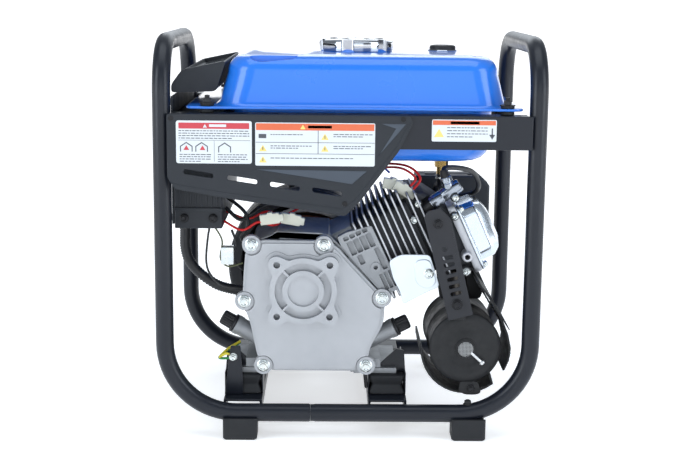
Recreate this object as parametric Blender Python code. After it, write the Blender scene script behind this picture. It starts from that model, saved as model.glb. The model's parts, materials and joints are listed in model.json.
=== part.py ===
"""Portable inverter generator in an open tube frame.

Sizes are in millimetres and become metres where a mesh is made. +X runs along the crankcase cover
from the control panel to the muffler, +Y from the cover to the recoil starter, +Z up. The origin is
on the floor, midway between the frame's ends and sides.
"""
import math

import bmesh
import bpy
from mathutils import Matrix, Vector

MM = 0.001

# Frame
TUBE_R = 11.0
TUBE_X = 224.0
TUBE_Y = 152.5
TUBE_BOTTOM = 31.0
TUBE_TOP = 482.0
FLOOR_BEND_R = 88.0
HANDLE_BEND_R = 58.0
SWAGE_X = -46.0
GAP = 0.3

# Feet, engine rails and rubber mounts
FOOT_SIZE = 42.0
FOOT_DEPTH = 30.0
FOOT_TOP = 27.0
FOOT_LEFT_X = -132.0
FOOT_RIGHT_X = 149.5
RAIL_LEFT_X = -130.0
RAIL_RIGHT_X = 50.0
RAIL_WIDTH = 48.0
RAIL_TOP = 44.0
RAIL_BOTTOM = 28.0
SHEET = 3.0
MOUNT_TOP = 69.0
MOUNT_YS = {"front": -98.0, "rear": -12.0}

# Engine
CRANK_X = -55.5
CRANK_Z = 181.5
CYLINDER_TILT = math.radians(25)
COVER_FACE = -128.0
COVER_JOINT = -118.0
DRIVE_FACE = -139.0
BLOCK_BACK = 0.0
CYLINDER_Y = -50.0
BORE_R = 34.0
DECK = 160.0
HEAD_END = 212.0
CRANK_THROW = 27.0

# Looks: colour, roughness, metallic
BLACK_PAINT = ((0.022, 0.024, 0.031), 0.38, 0.0)
BLACK_PLASTIC = ((0.035, 0.038, 0.043), 0.55, 0.0)
BLACK_RUBBER = ((0.02, 0.02, 0.02), 0.75, 0.0)
CAST_ALUMINIUM = ((0.62, 0.63, 0.66), 0.42, 0.8)
BARE_STEEL = ((0.55, 0.55, 0.56), 0.35, 1.0)
ZINC = ((0.72, 0.74, 0.76), 0.25, 1.0)
CHROME = ((0.85, 0.86, 0.88), 0.08, 1.0)
BLUE_PAINT = ((0.05, 0.22, 0.80), 0.25, 0.0)
BRASS = ((0.75, 0.55, 0.20), 0.3, 1.0)
COPPER = ((0.70, 0.33, 0.18), 0.35, 1.0)
HEAT_BLACK = ((0.03, 0.03, 0.032), 0.6, 0.0)
SWITCH_RED = ((0.60, 0.03, 0.02), 0.4, 0.0)
GREY_PLASTIC = ((0.30, 0.31, 0.33), 0.5, 0.0)


def clear_scene():
    for item in list(bpy.data.objects):
        bpy.data.objects.remove(item, do_unlink=True)


def make_material(name, look):
    colour, roughness, metallic = look
    material = bpy.data.materials.new(name)
    material.use_nodes = True
    shader = material.node_tree.nodes["Principled BSDF"]
    shader.inputs["Base Color"].default_value = (*colour, 1.0)
    shader.inputs["Roughness"].default_value = roughness
    shader.inputs["Metallic"].default_value = metallic
    return material


def add_object(name, bm, look=None, pivot=(0.0, 0.0, 0.0)):
    """Turn a bmesh in millimetres into an object in metres whose origin is at pivot."""
    pivot = Vector(pivot)
    bmesh.ops.transform(bm, matrix=Matrix.Scale(MM, 4) @ Matrix.Translation(-pivot), verts=bm.verts)
    mesh = bpy.data.meshes.new(name)
    bm.to_mesh(mesh)
    bm.free()
    mesh.shade_smooth()
    mesh.set_sharp_from_angle(angle=math.radians(32))
    item = bpy.data.objects.new(name, mesh)
    item.location = pivot * MM
    bpy.context.scene.collection.objects.link(item)
    if look:
        mesh.materials.append(make_material(name + "_finish", look))
    return item


def combine(item, tool_bm, operation):
    """Join a shape to an object or cut it out, with a Boolean modifier and a hidden tool."""
    tool = add_object(f"{item.name}_tool_{len(item.modifiers)}", tool_bm)
    tool.hide_render = True
    tool.display_type = "WIRE"
    modifier = item.modifiers.new(operation.lower(), "BOOLEAN")
    modifier.operation = operation
    modifier.solver = "EXACT"
    modifier.object = tool


def join(item, *shapes):
    for shape in shapes:
        combine(item, shape, "UNION")


def cut(item, *shapes):
    for shape in shapes:
        combine(item, shape, "DIFFERENCE")


def place(outline, plane, axis="Y"):
    """Lift two-coordinate points onto a plane across the axis."""
    if axis == "Y":
        return [Vector((u, plane, v)) for u, v in outline]
    if axis == "X":
        return [Vector((plane, u, v)) for u, v in outline]
    return [Vector((u, v, plane)) for u, v in outline]


def prism(outline, low, high, axis="Y"):
    """Extrude a flat outline along an axis from low to high."""
    bm = bmesh.new()
    face = bm.faces.new([bm.verts.new(point) for point in place(outline, low, axis)])
    grown = bmesh.ops.extrude_face_region(bm, geom=[face])["geom"]
    moved = [part for part in grown if isinstance(part, bmesh.types.BMVert)]
    shift = {"X": (high - low, 0, 0), "Y": (0, high - low, 0), "Z": (0, 0, high - low)}[axis]
    bmesh.ops.translate(bm, vec=shift, verts=moved)
    bmesh.ops.recalc_face_normals(bm, faces=bm.faces)
    return bm


def block(x0, x1, y0, y1, z0, z1):
    return prism([(x0, z0), (x1, z0), (x1, z1), (x0, z1)], y0, y1)


def loft(rings):
    """A closed body through rings that have the same number of points."""
    bm = bmesh.new()
    loops = [[bm.verts.new(point) for point in ring] for ring in rings]
    for lower, upper in zip(loops, loops[1:]):
        for i, start in enumerate(lower):
            j = (i + 1) % len(lower)
            bm.faces.new((start, lower[j], upper[j], upper[i]))
    bm.faces.new(loops[0])
    bm.faces.new(loops[-1])
    bmesh.ops.recalc_face_normals(bm, faces=bm.faces)
    return bm


def rounded(u0, u1, v0, v1, radius, steps=2):
    """A rectangle's outline with round corners."""
    corners = [(u1 - radius, v1 - radius, 0), (u0 + radius, v1 - radius, 90),
               (u0 + radius, v0 + radius, 180), (u1 - radius, v0 + radius, 270)]
    points = []
    for u, v, start in corners:
        for step in range(steps + 1):
            angle = math.radians(start + 90 * step / steps)
            points.append((u + radius * math.cos(angle), v + radius * math.sin(angle)))
    return points


def slot_outline(u, v, length, width, tilt):
    """A round-ended slot centred on u, v, with tilt in degrees."""
    half = (length - width) / 2
    points = []
    for end, start in ((half, -90), (-half, 90)):
        for step in range(5):
            angle = math.radians(start + 45 * step)
            points.append((end + width / 2 * math.cos(angle), width / 2 * math.sin(angle)))
    turn = math.radians(tilt)
    return [(u + a * math.cos(turn) - b * math.sin(turn), v + a * math.sin(turn) + b * math.cos(turn))
            for a, b in points]


def turned(profile, base, direction, steps=20, hollow=False):
    """Spin (distance, radius) points about a line from base; hollow closes the profile into a ring."""
    bm = bmesh.new()
    verts = [bm.verts.new((radius, 0, along)) for along, radius in profile]
    pairs = list(zip(verts, verts[1:]))
    if hollow:
        pairs.append((verts[-1], verts[0]))
    edges = [bm.edges.new(pair) for pair in pairs]
    bmesh.ops.spin(bm, geom=verts + edges, cent=(0, 0, 0), axis=(0, 0, 1), angle=2 * math.pi,
                   steps=steps, use_merge=True)
    bmesh.ops.remove_doubles(bm, verts=bm.verts, dist=0.001)
    bmesh.ops.recalc_face_normals(bm, faces=bm.faces)
    turn = Vector(direction).to_track_quat("Z", "Y").to_matrix().to_4x4()
    bmesh.ops.transform(bm, matrix=Matrix.Translation(base) @ turn, verts=bm.verts)
    return bm


def rod(base, direction, length, radius, steps=12):
    return turned([(0, 0), (0, radius), (length, radius), (length, 0)], base, direction, steps)


def arc_points(centre, first, second, radius, steps):
    """Points of a quarter bend about centre, from the first unit direction to the second."""
    points = []
    for step in range(steps + 1):
        angle = math.pi / 2 * step / steps
        points.append(centre + radius * (math.cos(angle) * first + math.sin(angle) * second))
    return points


def tube(name, points, radius, look, resolution=2):
    """A solid round bar along points."""
    data = bpy.data.curves.new(name, "CURVE")
    data.dimensions = "3D"
    data.bevel_depth = radius * MM
    data.bevel_resolution = resolution
    data.use_fill_caps = True
    spline = data.splines.new("POLY")
    spline.points.add(len(points) - 1)
    for knot, point in zip(spline.points, points):
        knot.co = (*(Vector(point) * MM), 1.0)
    data.materials.append(make_material(name + "_finish", look))
    item = bpy.data.objects.new(name, data)
    bpy.context.scene.collection.objects.link(item)
    return item


def smooth_route(knots, steps=5):
    """Points of a smooth curve that passes through every knot."""
    knots = [Vector(knot) for knot in knots]
    padded = [2 * knots[0] - knots[1]] + knots + [2 * knots[-1] - knots[-2]]
    points = []
    for i in range(1, len(padded) - 2):
        a, b, c, d = padded[i - 1:i + 3]
        for step in range(steps):
            t = step / steps
            points.append(0.5 * (2 * b + (c - a) * t + (2 * a - 5 * b + 4 * c - d) * t ** 2
                                 + (3 * b - a - 3 * c + d) * t ** 3))
    points.append(knots[-1])
    return points


def on_cylinder(along, across=0.0, y=CYLINDER_Y):
    """A point given along the cylinder's line from the crank, and square to it upwards."""
    cosine = math.cos(CYLINDER_TILT)
    sine = math.sin(CYLINDER_TILT)
    return Vector((CRANK_X + along * cosine - across * sine, y, CRANK_Z + along * sine + across * cosine))


CYLINDER_LINE = Vector((math.cos(CYLINDER_TILT), 0, math.sin(CYLINDER_TILT)))


def cylinder_ring(along, low, high, half_width, corner, middle=CYLINDER_Y):
    """A rounded rectangle square to the cylinder's line."""
    outline = rounded(low, high, middle - half_width, middle + half_width, corner, 2)
    return [on_cylinder(along, across, y) for across, y in outline]


def make_frame_half(name, side, inner_x):
    """One bent tube: floor bar, upright, handle bar, upright and floor bar again."""
    outward = Vector((side, 0, 0))
    up = Vector((0, 0, 1))
    away = Vector((0, 1, 0))
    front = []
    front.append(Vector((inner_x, -TUBE_Y, TUBE_BOTTOM)))
    floor_centre = Vector((side * (TUBE_X - FLOOR_BEND_R), -TUBE_Y, TUBE_BOTTOM + FLOOR_BEND_R))
    front += arc_points(floor_centre, -up, outward, FLOOR_BEND_R, 7)
    handle_centre = Vector((side * TUBE_X, -TUBE_Y + HANDLE_BEND_R, TUBE_TOP - HANDLE_BEND_R))
    front += arc_points(handle_centre, -away, up, HANDLE_BEND_R, 6)
    back = [Vector((point.x, -point.y, point.z)) for point in reversed(front)]
    tube(name, front + back, TUBE_R, BLACK_PAINT, 4)


def make_frame():
    make_frame_half("frame_left", -1, SWAGE_X)
    make_frame_half("frame_right", 1, SWAGE_X + GAP)


def make_feet():
    for end, y in (("front", -TUBE_Y), ("rear", TUBE_Y)):
        for side, x in (("left", FOOT_LEFT_X), ("right", FOOT_RIGHT_X)):
            half = FOOT_SIZE / 2
            depth = FOOT_DEPTH / 2
            rings = [place(rounded(x - half + 2, x + half - 2, y - depth + 1, y + depth - 1, 2, 1), 0, "Z"),
                     place(rounded(x - half, x + half, y - depth, y + depth, 2, 1), 2, "Z"),
                     place(rounded(x - half, x + half, y - depth, y + depth, 2, 1), FOOT_TOP, "Z")]
            foot = add_object(f"foot_{end}_{side}", loft(rings), BLACK_RUBBER)
            groove = rod((x - FOOT_SIZE, y, TUBE_BOTTOM), (1, 0, 0), 2 * FOOT_SIZE, TUBE_R + GAP, 16)
            cut(foot, groove)


def make_engine_rails():
    """Two folded channels, open below, welded between the floor bars."""
    reach = TUBE_Y - TUBE_R - GAP
    for side, x in (("left", RAIL_LEFT_X), ("right", RAIL_RIGHT_X)):
        half = RAIL_WIDTH / 2
        outline = [(x - half, RAIL_BOTTOM), (x - half, RAIL_TOP), (x + half, RAIL_TOP),
                   (x + half, RAIL_BOTTOM), (x + half - SHEET, RAIL_BOTTOM),
                   (x + half - SHEET, RAIL_TOP - SHEET), (x - half + SHEET, RAIL_TOP - SHEET),
                   (x - half + SHEET, RAIL_BOTTOM)]
        add_object(f"engine_rail_{side}", prism(outline, -reach, reach), BLACK_PAINT)


def make_engine_mounts():
    """Waisted rubber blocks between the rails and the engine's feet."""
    for side, x in (("left", RAIL_LEFT_X), ("right", RAIL_RIGHT_X)):
        for end, y in MOUNT_YS.items():
            rings = []
            middle = (RAIL_TOP + MOUNT_TOP) / 2
            for z, half in ((RAIL_TOP + GAP, 22), (RAIL_TOP + 4, 22), (middle, 19), (MOUNT_TOP - 4, 22),
                            (MOUNT_TOP, 22)):
                rings.append(place(rounded(x - half, x + half, y - half, y + half, 5), z, "Z"))
            add_object(f"engine_mount_{end}_{side}", loft(rings), BLACK_RUBBER)


COVER_OUTLINE = [(-95, 77), (10, 77), (24, 83), (28, 108), (44, 137), (46, 170), (36, 181), (2, 217),
                 (-14, 236), (-30, 243), (-108, 243), (-121, 239), (-127, 228), (-129, 206),
                 (-131, 166), (-121, 137), (-113, 97), (-106, 82)]
CASE_OUTLINE = [(-95, 79), (8, 79), (22, 85), (27, 110), (42, 138), (44, 168), (4, 222), (-25, 249),
                (-88, 252), (-100, 245), (-119, 238), (-127, 206), (-128, 168), (-119, 137),
                (-111, 97), (-104, 84)]
CASE_MIDDLE = (-45, 162)
FIN_COUNT = 9
FIN_PITCH = 8.0
FIN_FIRST = 88.0
FIN_THICK = 3.0
NECK_Y = -98.0
NECK_R = 11.5
NECK_BORE_R = 8.0
NECKS = {"left": ((-112, 113), (-0.87, 0.5), 33.6), "right": ((20, 107), (0.9, 0.45), 44.0)}
PLUG_SEAT = (93, -104, 280)
CAP_ELBOW = (137.5, -104, 311)
LEAD_EXIT = (118, -104, 323)
DRIVE_BOLT = 32.5
DRIVE_HALF = 43.5
# Each engine foot: its reach in x, and the reach of the taller shoulder that joins it to the case
LEG_SPANS = ((-143, -100, (-128, -100)), (8, 62, (4, 42)))


def shrink(outline, middle, share):
    return [(middle[0] + (x - middle[0]) * share, middle[1] + (z - middle[1]) * share) for x, z in outline]


def finned_barrel():
    """The barrel as one stack of rings, wide at each fin and narrow between fins."""
    rings = [cylinder_ring(55, -46, 46, 50, 8), cylinder_ring(FIN_FIRST - 3, -50, 46, 52, 8)]
    for fin in range(FIN_COUNT):
        start = FIN_FIRST + fin * FIN_PITCH
        top = min(51 + 0.32 * (start - FIN_FIRST), 64)
        rings.append(cylinder_ring(start, -50, 46, 52, 8))
        rings.append(cylinder_ring(start, -60, top, 60, 6))
        rings.append(cylinder_ring(start + FIN_THICK, -60, top, 60, 6))
        rings.append(cylinder_ring(start + FIN_THICK, -50, 46, 52, 8))
    rings.append(cylinder_ring(DECK, -50, 46, 52, 8))
    return loft(rings)


def neck_line(side):
    (x, z), (run, rise), length = NECKS[side]
    direction = Vector((run, 0, rise)).normalized()
    return Vector((x, NECK_Y, z)), direction, length


def make_engine_block():
    """Crankcase, finned barrel, feet and both filler necks in one casting, open towards the cover."""
    casting = add_object("engine_block", prism(CASE_OUTLINE, COVER_JOINT + GAP, BLOCK_BACK), CAST_ALUMINIUM)
    join(casting, finned_barrel())
    foot_z = MOUNT_TOP + GAP
    front = MOUNT_YS["front"] - 18
    for low, high, shoulder in LEG_SPANS:
        join(casting, block(low, high, front + 6, -3, foot_z, foot_z + 7))
        join(casting, block(*shoulder, front + 8, -6, foot_z + 1, 88))
    for side in NECKS:
        base, direction, length = neck_line(side)
        join(casting, rod(base, direction, length, NECK_R, 16))
    cut(casting, prism(shrink(CASE_OUTLINE, CASE_MIDDLE, 0.91), -125, BLOCK_BACK - 8))
    cut(casting, rod(on_cylinder(20), CYLINDER_LINE, DECK - 10, BORE_R, 24))
    cut(casting, rod((CRANK_X, -12, CRANK_Z), (0, 1, 0), 20, 14, 16))
    for side in NECKS:
        base, direction, length = neck_line(side)
        cut(casting, rod(base + direction * (length - 15), direction, 20, NECK_BORE_R, 12))


def make_crankcase_cover():
    """Side cover with a raised square drive face, four blind holes and the front bearing boss."""
    cover = add_object("crankcase_cover", prism(COVER_OUTLINE, COVER_FACE, COVER_JOINT), CAST_ALUMINIUM)
    left = CRANK_X - DRIVE_HALF
    right = CRANK_X + DRIVE_HALF
    low = CRANK_Z - DRIVE_HALF
    high = CRANK_Z + DRIVE_HALF
    join(cover, prism(rounded(left, right, low, high, 12), DRIVE_FACE, COVER_FACE + 2))
    join(cover, rod((CRANK_X, COVER_FACE + 2, CRANK_Z), (0, 1, 0), 22, 22, 20))
    for across in (-DRIVE_BOLT, DRIVE_BOLT):
        for up in (-DRIVE_BOLT, DRIVE_BOLT):
            cut(cover, rod((CRANK_X + across, DRIVE_FACE - 2, CRANK_Z + up), (0, 1, 0), 14, 4, 12))
    ring = [(DRIVE_FACE - 2, 26), (DRIVE_FACE - 2, 35), (DRIVE_FACE + 3, 35), (DRIVE_FACE + 3, 26)]
    cut(cover, turned(ring, (CRANK_X, 0, CRANK_Z), (0, 1, 0), 24, hollow=True))
    cut(cover, rod((CRANK_X, COVER_FACE, CRANK_Z), (0, 1, 0), 30, 12.6, 16))


def make_cylinder_head():
    rings = [cylinder_ring(DECK + GAP, -60, 55, 58, 8), cylinder_ring(168, -60, 54, 58, 8),
             cylinder_ring(184, -62, 46, 54, 8), cylinder_ring(200, -68, 22, 48, 8),
             cylinder_ring(204, -74, 16, 47, 8), cylinder_ring(HEAD_END, -74, 14, 47, 8)]
    head = add_object("cylinder_head", loft(rings), CAST_ALUMINIUM)
    join(head, rod((107, -152.2, 274), (0, 1, 0), 60, 7, 12))
    cut(head, rod(on_cylinder(DECK - 5), CYLINDER_LINE, 14, BORE_R - 4, 20))
    seat = Vector(PLUG_SEAT)
    way_out = Vector(CAP_ELBOW) - seat
    cut(head, rod(seat - way_out.normalized(), way_out, 70, 11, 16))
    cut(head, rod(seat + way_out * 0.72, Vector(LEAD_EXIT) - seat - way_out * 0.72, 40, 10, 16))


def make_rocker_cover():
    start = HEAD_END + GAP
    rings = [cylinder_ring(start, -76, 12, 46, 10), cylinder_ring(start + 4, -76, 12, 46, 10),
             cylinder_ring(start + 4, -71, 7, 41, 14), cylinder_ring(start + 22, -70, 6, 40, 14),
             cylinder_ring(start + 31, -64, 0, 34, 14), cylinder_ring(start + 36, -52, -12, 22, 10)]
    add_object("rocker_cover", loft(rings), CHROME)


def make_crank_train():
    """Crankshaft in two webbed halves round an offset pin, and the piston at the top of its stroke."""
    line = (CRANK_X, 0, CRANK_Z)
    front = [(-125, 0), (-125, 12), (-83, 12), (-83, 38), (-65, 38), (-65, 0)]
    rear = [(-35, 0), (-35, 38), (-17, 38), (-17, 12), (97, 12), (97, 0)]
    shaft = add_object("crankshaft", turned(front, line, (0, 1, 0), 16), BARE_STEEL, line)
    join(shaft, turned(rear, line, (0, 1, 0), 16))
    pin = on_cylinder(CRANK_THROW - 7, 0, -70)
    join(shaft, rod(pin, (0, 1, 0), 40, 13, 12))
    cup = [(150, 0), (150, 25), (112, 25), (112, 33.4), (158, 33.4), (158, 0)]
    add_object("piston", turned(cup, on_cylinder(0), CYLINDER_LINE, 24), CAST_ALUMINIUM)


def make_oil_plugs():
    for side in NECKS:
        base, direction, length = neck_line(side)
        mouth = base + direction * length
        profile = [(-12, 0), (-12, 7), (GAP, 7), (GAP, 12), (4, 12), (4, 10), (20, 9.5), (20, 0)]
        add_object(f"oil_plug_{side}", turned(profile, mouth, direction, 12), BLACK_PLASTIC, mouth)


MUFFLER_X = 145.0
MUFFLER_Z = 112.7
MUFFLER_R = 44.6
MUFFLER_FACE = -149.5
GUARD_X = 146.0
GUARD_Z = 110.0
STRAP_FACE = -155.0
STRAP_TOP = Vector((107, 274))
STRAP_END = Vector((133, 171))


def make_ignition():
    """Spark plug cap of two short barrels, and the lead that runs back to the coil at the fan."""
    seat = Vector(PLUG_SEAT)
    elbow = Vector(CAP_ELBOW)
    long_barrel = elbow - seat
    cap = add_object("spark_plug_cap", rod(seat, long_barrel, long_barrel.length, 8.5, 14), CHROME)
    side_start = seat + long_barrel * 0.72
    side_barrel = Vector(LEAD_EXIT) - side_start
    join(cap, rod(side_start, side_barrel, side_barrel.length, 7.5, 14))
    cut(cap, rod(seat - long_barrel.normalized() * 5, long_barrel, 30, 5.5, 10))
    way_out = side_barrel.normalized()
    knots = [Vector(LEAD_EXIT) + way_out * 2 * GAP, Vector(LEAD_EXIT) + way_out * 4, (119, -98, 330),
             (131, -84, 329), (146, -66, 325), (158, -50, 319), (165, -36, 309.5), (169.5, -24, 297),
             (166, 2, 284), (142, 11, 277), (104, 13, 276), (72, 20, 269), (55, 28, 256), (35, 40, 239)]
    tube("ignition_lead", smooth_route(knots, 4), 3.2, BLACK_RUBBER, 2)


def make_heat_deflector():
    """Bright plate that keeps the muffler's heat off the barrel."""
    outline = [(49, 221), (59, 227), (65, 229), (99, 229), (112, 189), (94, 181), (67, 166), (63, 184),
               (55, 198)]
    add_object("heat_deflector", prism(outline, -141, -139), ZINC)


def make_muffler():
    base = (MUFFLER_X, MUFFLER_FACE, MUFFLER_Z)
    profile = [(0, 0), (0, 36), (4, 42), (11, MUFFLER_R), (118, MUFFLER_R), (125, 42), (129, 36), (129, 0)]
    can = add_object("muffler", turned(profile, base, (0, 1, 0), 32), HEAT_BLACK)
    join(can, rod((MUFFLER_X, MUFFLER_FACE - 2.5, MUFFLER_Z), (0, 1, 0), 12, 12, 20))
    cut(can, rod((MUFFLER_X, MUFFLER_FACE - 5, MUFFLER_Z), (0, 1, 0), 14, 9.5, 20))
    join(can, block(123, 143, MUFFLER_FACE - 2.7, MUFFLER_FACE + 14, 148, 178))


def arc_strip(x, z, inner, outer, start, end, steps):
    """A curved strip's outline between two angles in degrees."""
    turns = [math.radians(start + (end - start) * step / steps) for step in range(steps + 1)]
    outside = [(x + outer * math.cos(turn), z + outer * math.sin(turn)) for turn in turns]
    inside = [(x + inner * math.cos(turn), z + inner * math.sin(turn)) for turn in reversed(turns)]
    return outside + inside


def make_muffler_guards():
    """A folded cradle under the muffler and a perforated screen on its outer side."""
    cradle = arc_strip(GUARD_X, GUARD_Z, 53.6, 56, 178, 308, 14)
    guard = add_object("muffler_guard", prism(cradle, -143, -34), HEAT_BLACK)
    lip = [(179, 64.5), (181.4, 66), (177.6, 79), (175, 78)]
    join(guard, prism(lip, -142, -35))
    outside = [(160, 195), (176, 176), (189, 152), (198, 130), (202, 112), (200, 96), (195, 84)]
    inside = [(x - 2.4, z - 1.0) for x, z in reversed(outside)]
    screen = add_object("muffler_screen", prism(outside + inside, -142, -60), HEAT_BLACK)
    for row in range(3):
        for column in range(4):
            centre = Vector((183.5 + 5.0 * row, -128 + 18 * column, 162 - 15 * row))
            cut(screen, rod(centre - Vector((8, 0, 4)), (2, 0, 1), 20, 5, 8))


def make_muffler_strap():
    """Slotted flat bar from the head down to the muffler's tab."""
    along = (STRAP_END - STRAP_TOP).normalized()
    side = Vector((-along.y, along.x))
    corners = [(-14, 6), (-14, -10), (-8, -15.5), (124, -15.5), (124, 15.5), (2, 15.5)]
    outline = [tuple(STRAP_TOP + along * reach + side * width) for reach, width in corners]
    strap = add_object("muffler_strap", prism(outline, STRAP_FACE, STRAP_FACE + 2.4), BLACK_PAINT)
    tilt = math.degrees(math.atan2(side.y, side.x))
    for slot in range(6):
        centre = STRAP_TOP + along * (47 + 9.2 * slot) + side * 1.0
        cut(strap, prism(slot_outline(*centre, 14, 6, tilt), STRAP_FACE - 3, STRAP_FACE + 6))
    hole = STRAP_TOP + along * 36
    cut(strap, rod((hole.x, STRAP_FACE - 3, hole.y), (0, 1, 0), 9, 3.2, 10))


def make_exhaust_pipe():
    tube("exhaust_pipe", [(140, -80, 197), (142, -80, 178), (145, -80, 158.5)], 10, BARE_STEEL, 4)


FAN_FRONT = 12.0
FAN_BACK = 98.0
FAN_R = 103.0
STARTER_BACK = 130.0
ROPE_DRUM_R = 44.0


def make_alternator():
    """Stator on the block, magnet rotor on the shaft and the fan housing round both."""
    line = (CRANK_X, 0, CRANK_Z)
    coils = [(GAP, 18), (GAP, 32), (18, 32), (18, 68), (58, 68), (58, 18)]
    add_object("stator", turned(coils, line, (0, 1, 0), 24, hollow=True), COPPER)
    bell = [(20, 72), (20, 80), (80, 80), (80, 24), (88, 24), (88, 12.4), (64, 12.4), (64, 24), (74, 24),
            (74, 72)]
    add_object("rotor", turned(bell, line, (0, 1, 0), 24, hollow=True), BARE_STEEL, line)
    shell = [(FAN_FRONT, 86), (FAN_FRONT, FAN_R), (FAN_BACK, FAN_R), (FAN_BACK, 62), (FAN_BACK - 3, 62),
             (FAN_BACK - 3, FAN_R - 3), (FAN_FRONT + 3, FAN_R - 3), (FAN_FRONT + 3, 86)]
    add_object("fan_housing", turned(shell, line, (0, 1, 0), 32, hollow=True), BLACK_PLASTIC)


def make_recoil_starter():
    line = (CRANK_X, 0, CRANK_Z)
    start = FAN_BACK + GAP
    dish = [(STARTER_BACK, 0), (STARTER_BACK, 60), (122, 76), (start, 80), (start, 76), (120, 72),
            (STARTER_BACK - 3, 58), (STARTER_BACK - 3, 0)]
    housing = add_object("recoil_housing", turned(dish, line, (0, 1, 0), 28), BLACK_PLASTIC)
    join(housing, rod((CRANK_X, 101, CRANK_Z), (0, 1, 0), 27, 7, 12))
    for opening in range(6):
        turn = math.radians(60 * opening)
        outline = slot_outline(CRANK_X + 46 * math.cos(turn), CRANK_Z + 46 * math.sin(turn), 30, 8,
                               60 * opening + 90)
        cut(housing, prism(outline, 124, STARTER_BACK + 4))
    drum = [(104, 7.5), (104, 50), (108, 50), (108, ROPE_DRUM_R), (114, ROPE_DRUM_R), (114, 50), (118, 50),
            (118, 7.5)]
    add_object("starter_pulley", turned(drum, line, (0, 1, 0), 24, hollow=True), GREY_PLASTIC, line)
    rope_z = CRANK_Z + ROPE_DRUM_R
    rings = []
    for x, half_y, half_z in ((24, 7, 20), (27, 9, 25), (40, 9, 25), (44, 7, 20)):
        rings.append(place(rounded(111 - half_y, 111 + half_y, rope_z - half_z, rope_z + half_z, 6), x, "X"))
    grip = add_object("starter_grip", loft(rings), BLACK_RUBBER, (24, 111, rope_z))
    join(grip, rod((19, 111, rope_z), (1, 0, 0), 8, 5, 10))


CARB_X = 118.0
CARB_Y = 24.0
CARB_Z = 256.0
TAP_X = 119.0
TAP_Y = -20.0
TAP_Z = 328.0
BOWL_BOTTOM = 340.0


def make_intake():
    """Carburettor behind the head, choke lever on it, and the air filter box."""
    body = add_object("carburettor", block(104, 134, 10, 38, CARB_Z - 14, CARB_Z + 14), CAST_ALUMINIUM)
    join(body, rod((CARB_X, CARB_Y, CARB_Z - 32), (0, 0, 1), 20, 12, 14))
    join(body, rod((CARB_X, CARB_Y, CARB_Z + 10), (0, 0, 1), 9, 4, 10))
    join(body, rod((130, CARB_Y, CARB_Z), (1, 0, 0), 6, 4, 10))
    pivot = (136 + GAP, CARB_Y, CARB_Z)
    outline = slot_outline(CARB_Y, CARB_Z + 6, 24, 9, 90)
    add_object("choke_lever", prism(outline, pivot[0], pivot[0] + 2, "X"), BLACK_PLASTIC, pivot)
    rings = []
    for y, inset in ((38 + GAP, 2), (40, 0), (86, 0), (92, 4)):
        rings.append(place([(92 + inset, 224 + inset), (192 - inset, 224 + inset), (192 - inset, 288 - inset),
                            (178 - inset, 301 - inset), (92 + inset, 301 - inset)], y))
    add_object("air_filter_box", loft(rings), BLACK_PLASTIC)


def make_fuel_tap():
    """Brass tap under the tank, its lever and the hose to the carburettor."""
    tap = add_object("fuel_tap", block(TAP_X - 7, TAP_X + 7, TAP_Y - 8, TAP_Y + 8, TAP_Z - 6, TAP_Z + 6), BRASS)
    join(tap, rod((TAP_X, TAP_Y, TAP_Z - 16), (0, 0, 1), 16 + BOWL_BOTTOM - TAP_Z - GAP, 4.5, 10))
    pivot = (TAP_X + 7 + GAP, TAP_Y, TAP_Z)
    outline = slot_outline(TAP_Y, TAP_Z - 7, 26, 9, 90)
    add_object("fuel_tap_lever", prism(outline, pivot[0], pivot[0] + 3, "X"), BLACK_PLASTIC, pivot)
    knots = [(TAP_X, TAP_Y, TAP_Z - 16 - GAP), (TAP_X, TAP_Y, 308),
             (TAP_X, TAP_Y, 303), (TAP_X, -10, 297), (CARB_X, 12, 293),
             (CARB_X, 23, 286), (CARB_X, CARB_Y, 280),
             (CARB_X, CARB_Y, CARB_Z + 19 + 2 * GAP)]
    tube("fuel_hose", smooth_route(knots, 4), 4, BLACK_RUBBER, 2)


RAIL_FACE = 166.3
TANK_RAIL_TOP = 401.0
TANK_RAIL_LOW = 361.0
FLANGE_LOW = 406.0
FLANGE_TOP = 409.0
TANK_TOP = 468.0
CAP_X = 9.0
CAP_Y = -10.0
GAUGE_X = 122.0
GAUGE_Y = 20.0
BUSH_XS = {"left": -170.0, "right": 187.0}
BUSH_Y = 149.0


def tank_ring(x0, x1, half, radius, z):
    return place(rounded(x0, x1, -half, half, radius, 4), z, "Z")


def make_fuel_tank():
    """Two pressed shells seamed at a flange: a bowl below and a sloping dome above, with a filler neck."""
    rings = [tank_ring(-120, 152, 110, 24, BOWL_BOTTOM), tank_ring(-134, 165, 122, 30, 346),
             tank_ring(-139, 171, 128, 34, 358), tank_ring(-142, 174, 132, 36, FLANGE_LOW),
             tank_ring(-195, 206, 158, 12, FLANGE_LOW), tank_ring(-195, 206, 158, 12, FLANGE_TOP),
             tank_ring(-158, 188, 144, 34, FLANGE_TOP), tank_ring(-156, 185, 142, 36, 416),
             tank_ring(-143, 176, 136, 36, 458), tank_ring(-139, 171, 132, 34, 464),
             tank_ring(-129, 162, 122, 30, TANK_TOP)]
    tank = add_object("fuel_tank", loft(rings), BLUE_PAINT)
    join(tank, rod((CAP_X, CAP_Y, TANK_TOP - 4), (0, 0, 1), 7, 41, 24))
    cut(tank, rod((CAP_X, CAP_Y, TANK_TOP - 34), (0, 0, 1), 50, 30, 20))
    cut(tank, rod((GAUGE_X, GAUGE_Y, TANK_TOP - 14), (0, 0, 1), 30, 12.4, 16))
    for x in BUSH_XS.values():
        for y in (-BUSH_Y, BUSH_Y):
            cut(tank, rod((x, y, FLANGE_LOW - 3), (0, 0, 1), 9, 5.4, 10))


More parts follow.
